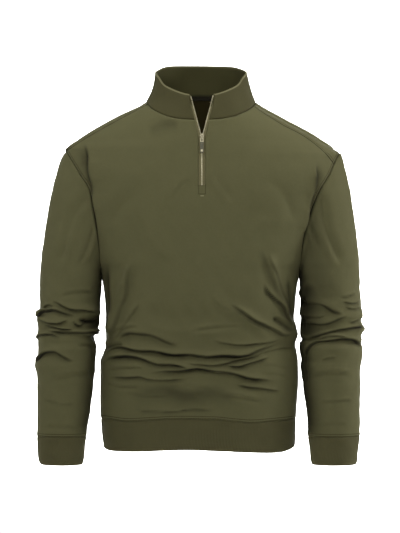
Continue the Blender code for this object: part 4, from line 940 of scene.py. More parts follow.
sleeveForm = {
    # height, left outer, left inner, right outer, right inner, half depth, centre
    "rows": np.array([
        (-736, 321, 241, 314.5, 229.5, 47, -42),
        (-722, 329, 236.5, 321, 224.5, 50, -40),
        (-701, 331.1, 234.4, 323, 223, 51, -38),
        (-674.5, 331.7, 231.9, 325.1, 220.3, 54, -35),
        (-619, 332.3, 223.5, 326.1, 216.4, 59, -28),
        (-570, 333.2, 218, 328, 210.8, 62, -22),
        (-550, 334.6, 215.8, 328.3, 210.4, 63, -20),
        (-530, 339.4, 213.5, 329, 207.3, 65, -18),
        (-522, 338, 212.6, 331, 207.1, 64, -17),
        (-512, 333.1, 211.8, 332.6, 205.4, 63, -16),
        (-496, 332.1, 210.8, 332.6, 202.6, 66, -14),
        (-484, 333, 211.6, 329.6, 203.6, 64, -12),
        (-479, 333.6, 213.6, 331.8, 208.6, 65, -11.5),
        (-471, 334.8, 216, 329.6, 206.4, 66, -11),
        (-466, 333.6, 204.5, 331, 205.8, 65.5, -10.7),
        (-456, 331.5, 209, 337.6, 205.2, 64, -10),
        (-446, 332.3, 205.6, 331, 205.2, 65.5, -9.5),
        (-438, 333.6, 205.2, 329.4, 205.2, 67, -9),
        (-431, 333.2, 205.1, 334, 205.2, 66, -8.5),
        (-422.5, 336, 205, 333.4, 205.2, 65, -8),
        (-415.5, 326.6, 204, 332, 205.2, 66, -7.5),
        (-408, 327.4, 202.8, 331, 205.2, 67, -7),
        (-381, 328.8, 202.8, 328, 204.8, 69, -5),
        (-348, 328.4, 202.5, 327.4, 203.5, 70, -3),
        (-324, 327, 202, 326, 203, 70, 0),
        (-291, 322.1, 202, 323.7, 203, 70, 0),
        (-258, 317.8, 202, 320.2, 203, 70, 0),
        (-225, 312.2, 202, 315.7, 203, 70, 0),
        (-192, 307.2, 202, 310.4, 203, 70, 0),
        (-160, 300.6, 202, 304.2, 203, 70, 0),
        (-127, 291.8, 202, 297, 203, 70, 0),
        (-102, 280.9, 202, 288.2, 203, 70, 0),
        (-90, 274.7, 202, 280, 203, 70, 0),
    ]),
    "ring": -395, "cuffSeam": -674.5, "cuffBottom": -732, "wall": 2, "cuffWall": 3, "roundScale": 1.1,
    # mm from the head, the cuff and either where folds and waves are whole; waves: height, size, seed, and how much
    # more of them near the elbow
    "headClear": 20, "cuffClear": 12, "waveClear": 30, "waves": [(1.2, 80, 11), (0.6, 34, 17)], "elbow": (-460, 110),
    # painted shade on the side that lies against the body: degrees round, width in degrees, top and fade in mm
    "innerSide": (174, 38, -150, 120),
    # shade rows: degrees where they are gone behind and over how many, and their fade at top and bottom in mm
    "shadeEnd": 262, "shadeFade": 60, "shadeTopFade": 34, "shadeLowFade": 18,
}
# folds on a sleeve: x is the way round from the outer side in degrees, front first
leftSleeveFolds = {
    "creases": {
        # name: bulge, valley, reach, points round and up
        "first": (4.2, 2.6, 8, [(6, -433), (22, -429), (45, -422), (62, -419), (77, -421), (92, -426), (106, -432)]),
        "brow": (2.4, 1.4, 6, [(33, -414), (41, -409), (50, -408), (60, -411)]),
        "over": (3.4, 2, 8, [(56, -399), (70, -405), (82, -411), (96, -416), (110, -418), (128, -419), (152, -421)]),
        "knot": (2.8, 2.4, 5, [(102, -437), (106, -446), (114, -449), (124, -445), (133, -438)]),
        "second": (3.4, 2.2, 6, [(16, -433), (26, -436), (37, -441), (56, -444), (71, -444), (84, -441), (94, -436)]),
        "third": (3, 2.2, 5, [(40, -448), (50, -450), (64, -452), (84, -456), (104, -458)]),
        "turn": (4.4, 2.8, 7, [(46, -457), (65, -461), (83, -463), (104, -464), (132, -464), (158, -464),
            (186, -462), (204, -458)]),
        "fourth": (3, 1.9, 6, [(-26, -484), (0, -478), (20, -472), (38, -468), (55, -467), (72, -470), (88, -474)]),
        "fifth": (4, 2.2, 9, [(2, -530), (16, -522), (30, -512), (48, -504), (66, -503), (79, -508), (94, -516),
            (110, -524)]),
        "wrist": (1.2, 0.4, 7, [(40, -596), (66, -602), (90, -608), (120, -606)]),
        "behindOne": (3.6, 2.2, 9, [(196, -434), (228, -428), (262, -430), (300, -438)]),
        "behindTwo": (3.6, 2.2, 9, [(200, -476), (236, -484), (276, -482), (322, -472)]),
        "behindThree": (3, 1.8, 8, [(210, -518), (250, -510), (290, -514), (326, -524)]),
    },
    "hollows": [(108, -436, 176, -442, 0, 9, 11), (150, -476, 154, -560, 0, 4, 11)],
    "innerShade": 0.62,
    # places with painted shade: top, bottom, degrees where it starts and where it is full, share
    "shade": [(-120, -405, 60, 116, 0.08), (-410, -470, 106, 156, 0.85), (-462, -668, 104, 174, 0.75)],
    "soft": [
        (60, -560, 150, -552, 5, 2.5, 5.8), (110, -490, 175, -500, 4, 3, 4.6), (70, -392, 140, -384, 4, 2.4, 5),
        (200, -560, 300, -570, 6, 3, 6.5), (220, -610, 320, -600, -5, 2.5, 6.5), (50, -655, 130, -660, 3, 2, 5),
        (75, -170, 60, -330, 8, 3.2, 9.4), (110, -210, 95, -330, -6, 2.8, 7.2),
    ],
}
rightSleeveFolds = {
    "creases": {
        "first": (3.8, 2.4, 7, [(150, -478), (133, -474), (118, -471), (104, -466), (91, -460), (78, -457), (64, -456),
            (46, -454), (26, -452), (10, -450)]),
        "second": (2.6, 1.8, 5, [(122, -478), (107, -473), (98, -471), (82, -471), (60, -473)]),
        "cap": (4.6, 2.5, 8, [(166, -524), (155, -513), (142, -501), (128, -489), (112, -481), (95, -478), (78, -477),
            (58, -478), (40, -481), (26, -486), (12, -494), (4, -502)]),
        "broad": (4.4, 1.7, 19, [(172, -399), (140, -403), (112, -409), (92, -418), (70, -428)]),
        "middle": (3.6, 2.2, 11, [(150, -446), (128, -445), (104, -446), (89, -443), (76, -436), (62, -428)]),
        "edgeOne": (2.2, 1.4, 5, [(74, -391), (54, -389), (32, -384)]),
        "edgeTwo": (2.6, 1.7, 5, [(72, -401), (54, -404), (24, -401)]),
        "edgeThree": (2.6, 1.7, 5, [(66, -412), (46, -416), (20, -412)]),
        "notch": (2.8, 1.9, 5, [(56, -444), (38, -438), (18, -431)]),
        "inner": (2.4, 1.3, 7, [(172, -428), (139, -433), (117, -432), (100, -427)]),
        "under": (1.4, 0.8, 6, [(112, -520), (98, -515), (84, -513)]),
        "wrist": (1.2, 0.4, 7, [(44, -604), (70, -600), (98, -602), (126, -608)]),
        "behindOne": (3.6, 2.2, 9, [(194, -438), (230, -432), (268, -434), (306, -442)]),
        "behindTwo": (3.6, 2.2, 9, [(200, -480), (236, -488), (276, -490), (318, -480)]),
        "behindThree": (3, 1.8, 8, [(204, -522), (244, -514), (284, -512), (316, -518)]),
    },
    "hollows": [(140, -396, 176, -400, 0, 6, 12), (146, -440, 176, -446, 0, 6, 14),
                (152, -494, 156, -570, 0, 4, 11)],
    "innerShade": 0.9,
    # places with painted shade, as in the left sleeve
    "shade": [(-120, -405, 58, 116, 0.35), (-345, -482, 88, 150, 0.9), (-150, -390, 100, 176, 0.55),
              (-486, -668, 106, 172, 0.97)],
    "soft": [
        (50, -548, 140, -556, 5, 2.8, 5.8), (60, -650, 130, -656, 3, 2, 5),
        (200, -570, 300, -560, 6, 3, 6.5), (220, -600, 320, -612, -5, 2.5, 6.5),
        (70, -175, 62, -335, -8, 3.8, 8.6), (118, -200, 100, -300, 6, 4.2, 5.8),
    ],
}
sleeveHeights, sleeveCurves = fineTable(sleeveForm["rows"], ("leftOuter", "leftInner", "rightOuter", "rightInner",
                                                             "halfDepth", "centre"))


def sleeveAt(name, z):
    # one of the sleeves' curves at a height
    return np.interp(z, sleeveHeights, sleeveCurves[name])


def sleeveRing(side, z, angle):
    # level oval of a sleeve, outer side first and then the front
    outer, inner = sleeveAt(sideName[side] + "Outer", z), sleeveAt(sideName[side] + "Inner", z)
    x = side * (0.5 * (outer + inner) + 0.5 * (outer - inner) * np.cos(angle))
    y = sleeveAt("centre", z) - sleeveAt("halfDepth", z) * np.sin(angle)
    return np.stack([x, y, z + 0.0 * x], axis=-1)


def armholeLoop(side, count):
    # the armhole's edge, from the shoulder's tip down the front and up the back, with evenly spread points
    tip = torsoForm[sideName[side] + "Tip"]
    heights = torsoForm["armpit"] + (tip - torsoForm["armpit"]) * np.linspace(1.0, 0.0, 400)
    loop = []
    for back in (False, True):
        line = edgePoint(side, heights, back)
        line[0] = shoulderTip(side)
        length = lengthAlong(line, 0)
        at = np.linspace(0.0, length[-1], count + 1)
        even = readAlong(at, length, line)
        loop.append(even if not back else even[::-1])
    return np.concatenate([loop[0][:-1], loop[1][:-1]])


def sleevePiece(side, folds, material):
    # head from the armhole's edge to a level ring, start x (1 - share) + ring x share, then ovals down to the cuff.
    # Folds are laid on it by degrees round and height
    count = 70
    angle = np.arange(2 * count) * math.pi / count
    level = sleeveRing(side, np.full(2 * count, sleeveForm["ring"]), angle)
    share = spread(300.0, 4.2, True, False)[:, None, None]
    head = armholeLoop(side, count) * (1.0 - share) + level * share
    wanted = side * sleeveAt(sideName[side] + "Outer", head[:, 0, 2])
    pull = (wanted - head[:, 0, 0])[:, None] * (0.5 + 0.5 * np.cos(angle)) ** 2
    pull[0] = 0.0
    head[..., 0] += pull
    end = sleeveForm["cuffSeam"]
    heights = gradedRows((sleeveForm["ring"], -540.0, end + 6.0, end), (1.7, 3.6, 1.0))[1:, None]
    raw = np.concatenate([head, sleeveRing(side, heights + 0.0 * angle, angle + 0.0 * heights)])
    z = raw[..., 2]
    scale = sleeveForm["roundScale"]
    around = np.degrees(angle)[None] * scale + 0.0 * z
    soft, hollows = ([(r[0] * scale, r[1], r[2] * scale) + r[3:] for r in folds[kind]]
                     for kind in ("soft", "hollows"))
    sharp = {key: row[:3] + ([(a * scale, b) for a, b in row[3]],) for key, row in folds["creases"].items()}
    fromHead, fromCuff = lengthAlong(raw, 0), lengthAlong(raw, 0, fromEnd=True)
    fromEnds = np.minimum(fromHead, fromCuff)
    hollow = foldDepth(hollows, around, z)
    sharpFront, duskFront = creaseDepth(sharp, around, z)
    sharpBack, duskBack = creaseDepth(sharp, around - 360.0 * scale, z)
    ease = smoothStep(fromHead / sleeveForm["headClear"]) * smoothStep(fromCuff / sleeveForm["cuffClear"])
    depth = (foldDepth(soft, around, z) + hollow + sharpFront + sharpBack) * ease
    # painted shade on the side that lies against the body: exp(-((degrees - middle) / width)^2) x its fade
    degrees = around / scale
    middle, wide, innerTop, fade = sleeveForm["innerSide"]
    innerSide = folds["innerShade"] * bell(degrees - middle, wide) * smoothStep((innerTop - z) / fade)
    # each shade row: share x smooth step round the sleeve x smooth steps at its end, top and bottom
    ending = smoothStep((sleeveForm["shadeEnd"] - degrees) / sleeveForm["shadeFade"])
    shaded = [share * smoothStep((degrees - start) / (full - start)) * ending
              * smoothStep((top - z) / sleeveForm["shadeTopFade"])
              * smoothStep((z - bottom) / sleeveForm["shadeLowFade"])
              for top, bottom, start, full, share in folds["shade"]]
    dusk = np.maximum.reduce([duskFront, duskBack, hollowDusk(hollow), innerSide] + shaded) * ease
    dusk = np.maximum(dusk, armpitDusk(fromHead, raw))
    elbowAt, elbowWide = sleeveForm["elbow"]
    depth = depth + smoothStep(fromEnds / sleeveForm["waveClear"]) * (0.5 + 0.5 * bell(z - elbowAt, elbowWide)) * sum(
        height * swells(raw, size, seed + side) for height, size, seed in sleeveForm["waves"])
    depth = depth + seamPuff(fromEnds) * tipCalm(raw, side)
    faces = gridFaces(*raw.shape[:2], closed=True)
    if side < 0:
        faces = faces[:, ::-1]
    grid = raw - gridNormals(raw.reshape(-1, 3), faces).reshape(raw.shape) * depth[..., None]
    grid = grid - unit(outsideSlope(raw)) * armpitValley(fromHead, z)[..., None] + tipRound(raw, side)
    grid[-1, :, 2] = end
    along = roundLength(raw)
    return makeShell(sideName[side] + "Sleeve", grid.reshape(-1, 3), faces, sheetNormals(grid, faces, -1),
                     sleeveForm["wall"], material, {
                         "seam": fromEnds, "stitch": np.minimum(fromHead + far, fromCuff), "drawn": fromHead + far,
                         "dusk": dusk, "along": along, "across": along})


def roundLength(rings):
    # running length round each closed ring
    return lengthAlong(np.concatenate([rings, rings[:, :1]], axis=1), 1)[:, :-1]


def foldOver(grid, outward, wall, bends):
    # the outside rows, a half round past the last of them, and the inside rows back to the first
    turn = np.linspace(0.0, math.pi, bends + 2)[1:-1, None, None]
    way = unit(grid[-1] - grid[-2])
    edge = grid[-1] + way * np.sin(turn) * wall * 0.5 - outward[-1] * (1.0 - np.cos(turn)) * wall * 0.5
    return np.concatenate([grid, edge, (grid - outward * wall)[::-1]])


def foldedMaps(seam, along, edgeTone, bends):
    # what the material reads on a folded piece: its inside has no seam and no row of stitches
    edge = np.zeros((bends, seam.shape[1]))
    seams = np.concatenate([seam, edge + far, seam[::-1] + far])
    lines = np.concatenate([along, np.repeat(along[-1:], bends, axis=0), along[::-1]])
    # the turn round the edge takes edgeTone of the inside's colour, which is painted shade
    inner = np.concatenate([0.0 * seam, edge + edgeTone, 0.0 * seam + 1.0])
    return {"inner": inner, "seam": seams, "stitch": seams + far, "drawn": seams + far, "along": lines, "across": lines}


def bandPiece(name, rings, outward, puff, wall, material, heights):
    # band closed round its free edge: down the outside, round the edge and up the inside. Puff is its unevenness
    fromSeam = np.abs(heights - heights[0])[:, None] + 0.0 * rings[..., 0]
    along = roundLength(rings)
    rings = rings - outward * (seamPuff(fromSeam, bandPuff) + puff(fromSeam))[..., None]
    bends = 5
    grid = foldOver(rings, outward, wall, bends)
    faces = gridFaces(len(grid) + 1, grid.shape[1], closed=True) % (len(grid) * grid.shape[1])
    piece = makeMesh(name, grid.reshape(-1, 3), faces, material, foldedMaps(fromSeam, along, 0.5, bends))
    faceOut(piece)
    return piece


def faceOut(piece):
    # merged closed bodies get their faces turned outwards
    shape = bmesh.new()
    shape.from_mesh(piece.data)
    bmesh.ops.recalc_face_normals(shape, faces=shape.faces)
    if shape.calc_volume(signed=True) < 0.0:
        bmesh.ops.reverse_faces(shape, faces=shape.faces)
    shape.to_mesh(piece.data)
    shape.free()


def cuffPiece(side, material):
    # rib band on the sleeve's ovals, as if it went on down
    angle = np.linspace(0.0, 2.0 * math.pi, 160, endpoint=False)
    heights = sleeveForm["cuffSeam"] + (sleeveForm["cuffBottom"] + 1.5 - sleeveForm["cuffSeam"]) * spread(57.5, 3.0)
    rings = sleeveRing(side, heights[:, None] + 0.0 * angle, angle + 0.0 * heights[:, None])
    outward = np.stack([side * np.cos(angle), -np.sin(angle), 0.0 * angle], axis=1)[None] + 0.0 * rings
    return bandPiece(sideName[side] + "Cuff", rings, outward, lambda fromSeam: 0.5 * smoothStep(fromSeam / 20.0)
                     * swells(rings, 40.0, 23 + side), sleeveForm["cuffWall"], material, heights)


leftSleeve = sleevePiece(-1, leftSleeveFolds, bodyKnit)
rightSleeve = sleevePiece(1, rightSleeveFolds, bodyKnit)
leftCuff = cuffPiece(-1, ribKnit)
rightCuff = cuffPiece(1, ribKnit)
for piece, node, slot in ((leftSleeve, "sleeve_left", "sleeve_knit"), (rightSleeve, "sleeve_right", "sleeve_knit"),
                          (leftCuff, "cuff_left", "rib_knit"), (rightCuff, "cuff_right", "rib_knit")):
    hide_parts(node)
print("sleeves and cuffs:", len(leftSleeve.data.polygons), len(leftCuff.data.polygons))


hemForm = {
    "bottom": -701, "wall": 3, "flare": 3.2,
    # across, how far the lower edge stands above the plain level
    "lowerEdge": np.array([(-204, 5), (-196, 1), (-188, -1.4), (-178, -2.2), (-150, -2.2), (-120, -1.4),
                           (-80, 0.8), (-24, 2.4), (20, 1), (60, -0.9), (105, -3.4), (145, -4.9),
                           (165, -3.6), (178, -0.8), (188, 3), (196, 8)]),
}


def hemPiece(material):
    # rib band on the torso's rings, with a wider right side and a swaying lower edge
    turn = np.linspace(0.0, 2.0 * math.pi, 420, endpoint=False)
    side = np.where(np.cos(turn) < 0.0, -1.0, 1.0)
    angle = np.arcsin(np.clip(np.sin(turn), -1.0, 1.0))
    share = spread(60.0, 3.0)
    heights = torsoForm["hemSeam"] + (hemForm["bottom"] + 1.5 - torsoForm["hemSeam"]) * share
    rings = ringPoint(side, angle + 0.0 * heights[:, None], heights[:, None] + 0.0 * angle)
    x = rings[..., 0]
    sway = curve(hemForm["lowerEdge"], x)
    rings[..., 0] += hemForm["flare"] * smoothStep((x - 120.0) / 60.0) * share[:, None]
    rings[..., 2] += sway * share[:, None] ** 2
    flat = rings.copy()
    flat[..., 2] = heights[:, None]
    outward = unit(outsideSlope(flat) * np.array([1.0, 1.0, 0.0]))
    return bandPiece("hemBand", rings, outward, lambda fromSeam: 0.9 * smoothStep(fromSeam / 16.0)
                     * swells(rings, 90.0, 29), hemForm["wall"], material, heights)


hemBand = hemPiece(ribKnit)
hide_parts("hem_band")

# how far the band's seam rises or drops on its way across
seamSway = np.array([(-204, 0), (-191, 0.6), (-149, -3), (-95, 0.6), (-42, 3.4), (30, 2.2), (70, -2.2),
                     (104, -5.2), (150, -2.5), (183, -0.8), (204, 0)])


def swaySeam(piece):
    # height changes by sway(x) x exp(-((z - seam) / 24 mm)^2)
    points = np.empty(len(piece.data.vertices) * 3, np.float32)
    piece.data.vertices.foreach_get("co", points)
    points = points.reshape(-1, 3) / mm
    near = bell(points[:, 2] - torsoForm["hemSeam"], 24.0)
    points[:, 2] += curve(seamSway, points[:, 0]) * near
    piece.data.vertices.foreach_set("co", (points * mm).astype(np.float32).reshape(-1))
    piece.data.update()


for piece in (frontPiece, backPiece, hemBand):
    swaySeam(piece)


collarForm = {
    "rim": np.array([(-86, 15), (-74, 27), (-57, 41), (-44, 56), (-31, 63), (-19, 67),
                     (0, 72), (16, 77), (30, 81), (50, 83.5)]),
    "rimCentre": (1.8, -19), "rimHalfWidth": 94, "rimHalfDepth": 66, "neckHalf": (108, 72),
    "zipZone": 30, "bow": 0.8, "leftBow": -4.7, "rightBow": -1.8, "rise": 0.9, "lean": 0.009, "wall": 3,
}


def collarBase():
    # the neck seam from the left of the zip round the back to its right, and the side that each point is on
    share, backShare = spread(120.0, 2.6, True, False), spread(110.0, 3.0, False, False)
    left, right = (np.concatenate([frontNeckLine(side, 1.0 - share), backNeckLine(side, backShare[1:])])
                   for side in (-1, 1))
    left[-1, 0] = 0.0
    base = np.concatenate([left, right[-2::-1]])
    return base, np.where(np.arange(len(base)) < len(left), -1.0, 1.0)


def collarRim(base, sign):
    # the free edge. The turn of its points runs evenly from the zip's edge to where the plain rule takes over
    form, centre = collarForm, zipForm["centre"]
    (centreX, centreY), (acrossNeck, deepNeck), wide = form["rimCentre"], form["neckHalf"], form["rimHalfWidth"]
    zoneX = centre + sign * form["zipZone"]
    edgeX = (centre + sign * clothOffset(zipForm["rimFront"]) - centreX) / wide
    edgeTurn = np.arctan2(-np.sqrt(1.0 - edgeX ** 2), edgeX)
    zoneTurn = np.arctan2((frontPoint(zoneX, -30.0)[:, 1] - centreY) / deepNeck, (zoneX - centreX) / acrossNeck)
    off, inner = np.abs(base[:, 0] - centre), clothOffset(torsoForm["neckFront"])
    blend = np.clip((off - inner) / (form["zipZone"] - inner), 0.0, 1.0)
    turn = np.where((base[:, 1] < centreY) & (off < form["zipZone"]), edgeTurn + (zoneTurn - edgeTurn) * blend,
                    np.arctan2((base[:, 1] - centreY) / deepNeck, (base[:, 0] - centreX) / acrossNeck))
    x, y = centreX + wide * np.cos(turn), centreY + form["rimHalfDepth"] * np.sin(turn)
    z = curve(form["rim"], y)
    return np.stack([x, y, z + (form["rise"] - form["lean"] * x) * smoothStep((y + 8.0) / 26.0)], axis=1)


def collarPiece(material):
    # cloth from the neck seam up to the rim, over it and down inside
    base, sign = collarBase()
    centre = np.array([*collarForm["rimCentre"], 0.0])
    t = spread(48.0, 2.4, True, False)[:, None, None]
    grid = base[None] * (1.0 - t) + collarRim(base, sign)[None] * t
    # the sides curve in a little between seam and rim, more on the left
    outward = unit((base - centre) * np.array([1.0, 1.0, 0.0]))
    side = smoothStep((np.abs(base[:, 0]) - 30.0) / 50.0)
    bow = collarForm["bow"] * (1.0 - side) + side * np.where(base[:, 0] < 0.0, collarForm["leftBow"],
                                                            collarForm["rightBow"])
    grid = grid + outward[None] * bow[None, :, None] * np.sin(t * math.pi)
    for column, side in ((0, -1.0), (-1, 1.0)):
        grid[:, column, 0] = zipForm["centre"] + side * clothOffset(grid[:, column, 2])
    normals = gridNormals(grid.reshape(-1, 3), gridFaces(*grid.shape[:2])).reshape(grid.shape)
    if np.sum(normals * (grid - centre - np.array([0.0, 0.0, 30.0]))) < 0.0:
        normals = -normals
    fromNeck, fromRim = lengthAlong(grid, 0), lengthAlong(grid, 0, fromEnd=True)
    fromZip = np.minimum(lengthAlong(grid, 1), lengthAlong(grid, 1, fromEnd=True))
    depth = seamPuff(fromNeck, bandPuff) + zipDips(fromZip, fromNeck, zipForm["collarDips"])
    depth = depth + 0.5 * swells(grid, 60.0, 31) * smoothStep(fromNeck / 12.0)
    grid = grid - normals * depth[..., None]
    bends = 7
    full = foldOver(grid, normals, collarForm["wall"], bends)
    rows, columns = full.shape[:2]
    # the neck seam's cut edge, and flat ends beside the zip, close the wall
    j, i = np.arange(columns - 1), np.arange(rows // 2 - 1)
    top = (rows - 1) * columns
    cap = np.stack([top + j, top + j + 1, j + 1, j], axis=1)
    ends = [np.stack([i, i + 1, rows - 2 - i, rows - 1 - i], axis=1) * columns + column
            for column in (0, columns - 1)]
    # pale painted highlight along the rolled edge of the rim and beside the zip, and painted shade low down inside the
    # back
    outerEdge = np.maximum(bell(fromRim, 1.1), 0.6 * bell(fromZip, 0.9) * smoothStep(fromNeck / 30.0))
    roll = 0.8 * np.sin(np.linspace(0.1 * math.pi, 0.95 * math.pi, bends))[:, None] ** 2 + np.zeros(columns)
    paintedHighlight = 0.6 * np.concatenate([outerEdge, roll, 0.5 * bell(fromRim[::-1], 1.5)])
    paintedLowShade = np.where(grid[::-1, :, 1] > 0.0, smoothStep((12.0 - fromNeck[::-1]) / 3.0), 0.0)
    maps = foldedMaps(fromNeck, lengthAlong(grid, 1), 0.15, bends)
    maps |= {"edge": paintedHighlight, "dusk": np.concatenate([0.0 * fromRim, 0.0 * roll, paintedLowShade])}
    piece = makeMesh("standCollar", full.reshape(-1, 3), np.concatenate([gridFaces(rows, columns), cap, *ends]),
                     material, maps)
    faceOut(piece)
    return piece, grid


collarPieceObject, collarGrid = collarPiece(collarKnit)
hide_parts("collar")
print("collar:", len(collarPieceObject.data.polygons))


zipLook = {
    "toothPitch": 1.9, "toothWidth": 2.3, "toothHeight": 1.25, "toothDepth": 1.7,
    "metal": "D2CAAA", "metalDark": "8C8568", "tapeTone": "6A6440", "tapeShade": "555030", "weave": 0.8,
    "tuck": 4.0, "tapeWall": 0.7, "pullTone": "3A3824", "pullWorn": "504D35",
    # dirt in the metal, and how much of it the slider and the pull's metal hold
    "shadeAndGrime": "34301C", "sliderGrime": 0.75, "blankGrime": 0.25,
}


def zipLine(side):
    # the opening's edge from the zip's foot to the collar's rim, with points a millimetre apart, the length along
    # it, and the unit way out from the cloth: square to the line in the plane of x = 0
    panel = frontHalves[0 if side < 0 else 1][0][ringRows + slitRows + lowRows - 1:, -1]
    edge = np.concatenate([panel, collarGrid[1:, 0 if side < 0 else -1]])
    length = lengthAlong(edge, 0)
    at = np.linspace(0.0, length[-1], int(length[-1]) + 1)
    line = readAlong(at, length, edge)
    tangent = np.gradient(line, axis=0)
    return line, at, unit(np.stack([0.0 * tangent[:, 0], -tangent[:, 2], tangent[:, 1]], axis=1))


def tapePiece(side, material):
    # strip from under the cloth's edge to the teeth, which comes forward as it narrows
    line, at, out = zipLine(side)
    share = np.linspace(0.0, 1.0, 8)
    teeth = zipForm["centre"] + side * teethOffset(line[:, 2])
    outer = line[:, 0] + side * zipLook["tuck"]
    x = outer[:, None] + (teeth - outer)[:, None] * share
    inward = 2.3 - 1.5 * smoothStep(share)
    grid = np.stack([x, line[:, 1:2] + 0.0 * x, line[:, 2:] + 0.0 * x], axis=-1) - out[:, None] * inward[:, None]
    grid = grid - out[:, None] * (0.12 * np.sin(at / 3.1 + side))[:, None, None]
    faces = gridFaces(*grid.shape[:2])
    if side > 0:
        faces = faces[:, ::-1]
    points = grid.reshape(-1, 3)
    return makeShell(sideName[side] + "Tape", points, faces, gridNormals(points, faces), zipLook["tapeWall"], material,
                     {"across": share * 9.0 + 0.0 * x, "along": at[:, None] + 0.0 * x, "seam": far + 0.0 * x})


def toothShape():
    # tooth with chamfered edges: three rounded rectangles stacked from its root to its face
    corner = np.array([(-1.0, -0.6), (-0.7, -1.0), (0.7, -1.0), (1.0, -0.6), (1.0, 0.6), (0.7, 1.0), (-0.7, 1.0),
                       (-1.0, 0.6)])
    levels = np.array([(-0.5, 1.0), (0.18, 1.0), (0.5, 0.72)])
    rings = np.concatenate([np.column_stack([corner * 0.5 * wide, np.full(8, high)]) for high, wide in levels])
    j = np.arange(8)
    k = (j + 1) % 8
    quads = np.concatenate([np.stack([j + r, k + r, k + r + 8, j + r + 8], axis=1) for r in (0, 8)])
    caps = [[0, 3, 2, 1], [0, 7, 4, 3], [7, 6, 5, 4], [16, 17, 18, 19], [16, 19, 20, 23], [23, 20, 21, 22]]
    return rings, np.concatenate([quads, np.array(caps)])


def teethPiece(side, material):
    # one row of teeth along the tape's edge, half a pitch out of step with the other row
    line, at, out = zipLine(side)
    pitch = zipLook["toothPitch"]
    spots = np.arange(pitch * (0.6 if side < 0 else 1.1), at[-1] - 2.0, pitch)
    place, away = readAlong(spots, at, line), unit(readAlong(spots, at, out))
    teeth = zipForm["centre"] + side * teethOffset(place[:, 2])
    upWay = unit(np.cross(away, np.array([1.0, 0.0, 0.0])))
    upWay = upWay * np.sign(upWay[:, 2:])
    slope = np.gradient(teeth, spots)
    upWay = unit(upWay + slope[:, None] * np.array([1.0, 0.0, 0.0]))
    sideWay = unit(np.cross(upWay, away))
    shape, faces = toothShape()
    middle = np.stack([teeth, place[:, 1], place[:, 2]], axis=1) - away
    local = shape * np.array([zipLook["toothWidth"], zipLook["toothHeight"], zipLook["toothDepth"]])
    cloud = (middle[:, None] + sideWay[:, None] * local[None, :, :1] + upWay[:, None] * local[None, :, 1:2]
             + away[:, None] * local[None, :, 2:])
    ids = faces[None] + (np.arange(len(spots)) * len(shape))[:, None, None]
    piece = makeMesh(sideName[side] + "Teeth", cloud.reshape(-1, 3), ids.reshape(-1, 4), material, smooth=False)
    faceOut(piece)
    return piece


def zipMetal():
    # plated zinc gone dull: bright on the rubbed faces, brown in the hollows. Wear is in spots of about 1.1 mm and dirt
    # in blotches of about 2.4 mm
    material, tree, shader = newMaterial("dulled nickel zip metal", Metallic=0.5)
    place = addNode(tree, "TexCoord", "Object", {})
    wear = addNode(tree, "TexNoise", "Fac", {"Vector": place}, Scale=900.0, Detail=3.0, Roughness=0.6)
    share = addNode(tree, "MapRange", "Result", {"Value": wear}, From_Min=0.38, From_Max=0.62, To_Min=0.1,
                    To_Max=0.95)
    tone = addNode(tree, "Mix", "Result", {"Factor": share, "A": linear(zipLook["metalDark"]),
                                           "B": linear(zipLook["metal"])}, data_type="RGBA")
    # the slider's cast faces hold more dirt than the teeth, in blotches
    blotch = addNode(tree, "TexNoise", "Fac", {"Vector": place}, Scale=420.0, Detail=2.0)
    dirt = addNode(tree, "MapRange", "Result", {"Value": blotch}, From_Min=0.42, From_Max=0.56, To_Min=0.35)
    cast = addNode(tree, "Attribute", "Fac", {}, attribute_name="dusk")
    dirt = addNode(tree, "Math", "Value", {0: cast, 1: dirt}, operation="MULTIPLY")
    tone = addNode(tree, "Mix", "Result", {"Factor": dirt, "A": tone, "B": linear(zipLook["shadeAndGrime"])},
                   data_type="RGBA")
    tree.links.new(tone, shader.inputs["Base Color"])
    rough = addNode(tree, "MapRange", "Result", {"Value": wear}, To_Min=0.3, To_Max=0.55)
    tree.links.new(rough, shader.inputs["Roughness"])
    dents = addNode(tree, "Bump", "Normal", {"Height": wear}, Strength=0.3, Distance=0.0002)
    tree.links.new(dents, shader.inputs["Normal"])
    return material


def tapeWeave():
    # flat woven tape: fine ribs across its length and up it, sin(2 pi x along / pitch) x sin(2 pi x across / pitch)
    material, tree, shader = newMaterial("woven zip tape", Roughness=0.82, Sheen_Weight=0.12)
    waves = []
    for key, pitch in (("along", zipLook["weave"]), ("across", zipLook["weave"] * 1.5)):
        wave = addNode(tree, "Attribute", "Fac", {}, attribute_name=key)
        wave = addNode(tree, "Math", "Value", {0: wave, 1: 2.0 * math.pi / pitch}, operation="MULTIPLY")
        waves.append(addNode(tree, "Math", "Value", {0: wave}, operation="SINE"))
    weave = addNode(tree, "Math", "Value", dict(enumerate(waves)), operation="MULTIPLY")
    share = addNode(tree, "MapRange", "Result", {"Value": weave}, From_Min=-1.0)
    tone = addNode(tree, "Mix", "Result", {"Factor": share, "A": linear(zipLook["tapeShade"]),
                                           "B": linear(zipLook["tapeTone"])}, data_type="RGBA")
    tree.links.new(tone, shader.inputs["Base Color"])
    ribs = addNode(tree, "Bump", "Normal", {"Height": weave}, Strength=0.5, Distance=0.0002)
    tree.links.new(ribs, shader.inputs["Normal"])
    return material


def coverFinish():
    # rubbery moulded cover: dull, a little paler where fingers rub it
    material, tree, shader = newMaterial("moulded olive pull cover", Roughness=0.55)
    place = addNode(tree, "TexCoord", "Object", {})
    wear = addNode(tree, "TexNoise", "Fac", {"Vector": place}, Scale=600.0, Detail=2.0)
    tone = addNode(tree, "Mix", "Result", {"Factor": wear, "A": linear(zipLook["pullTone"]),
                                           "B": linear(zipLook["pullWorn"])}, data_type="RGBA")
    tree.links.new(tone, shader.inputs["Base Color"])
    grain = addNode(tree, "Bump", "Normal", {"Height": wear}, Strength=0.4, Distance=0.0002)
    tree.links.new(grain, shader.inputs["Normal"])
    return material


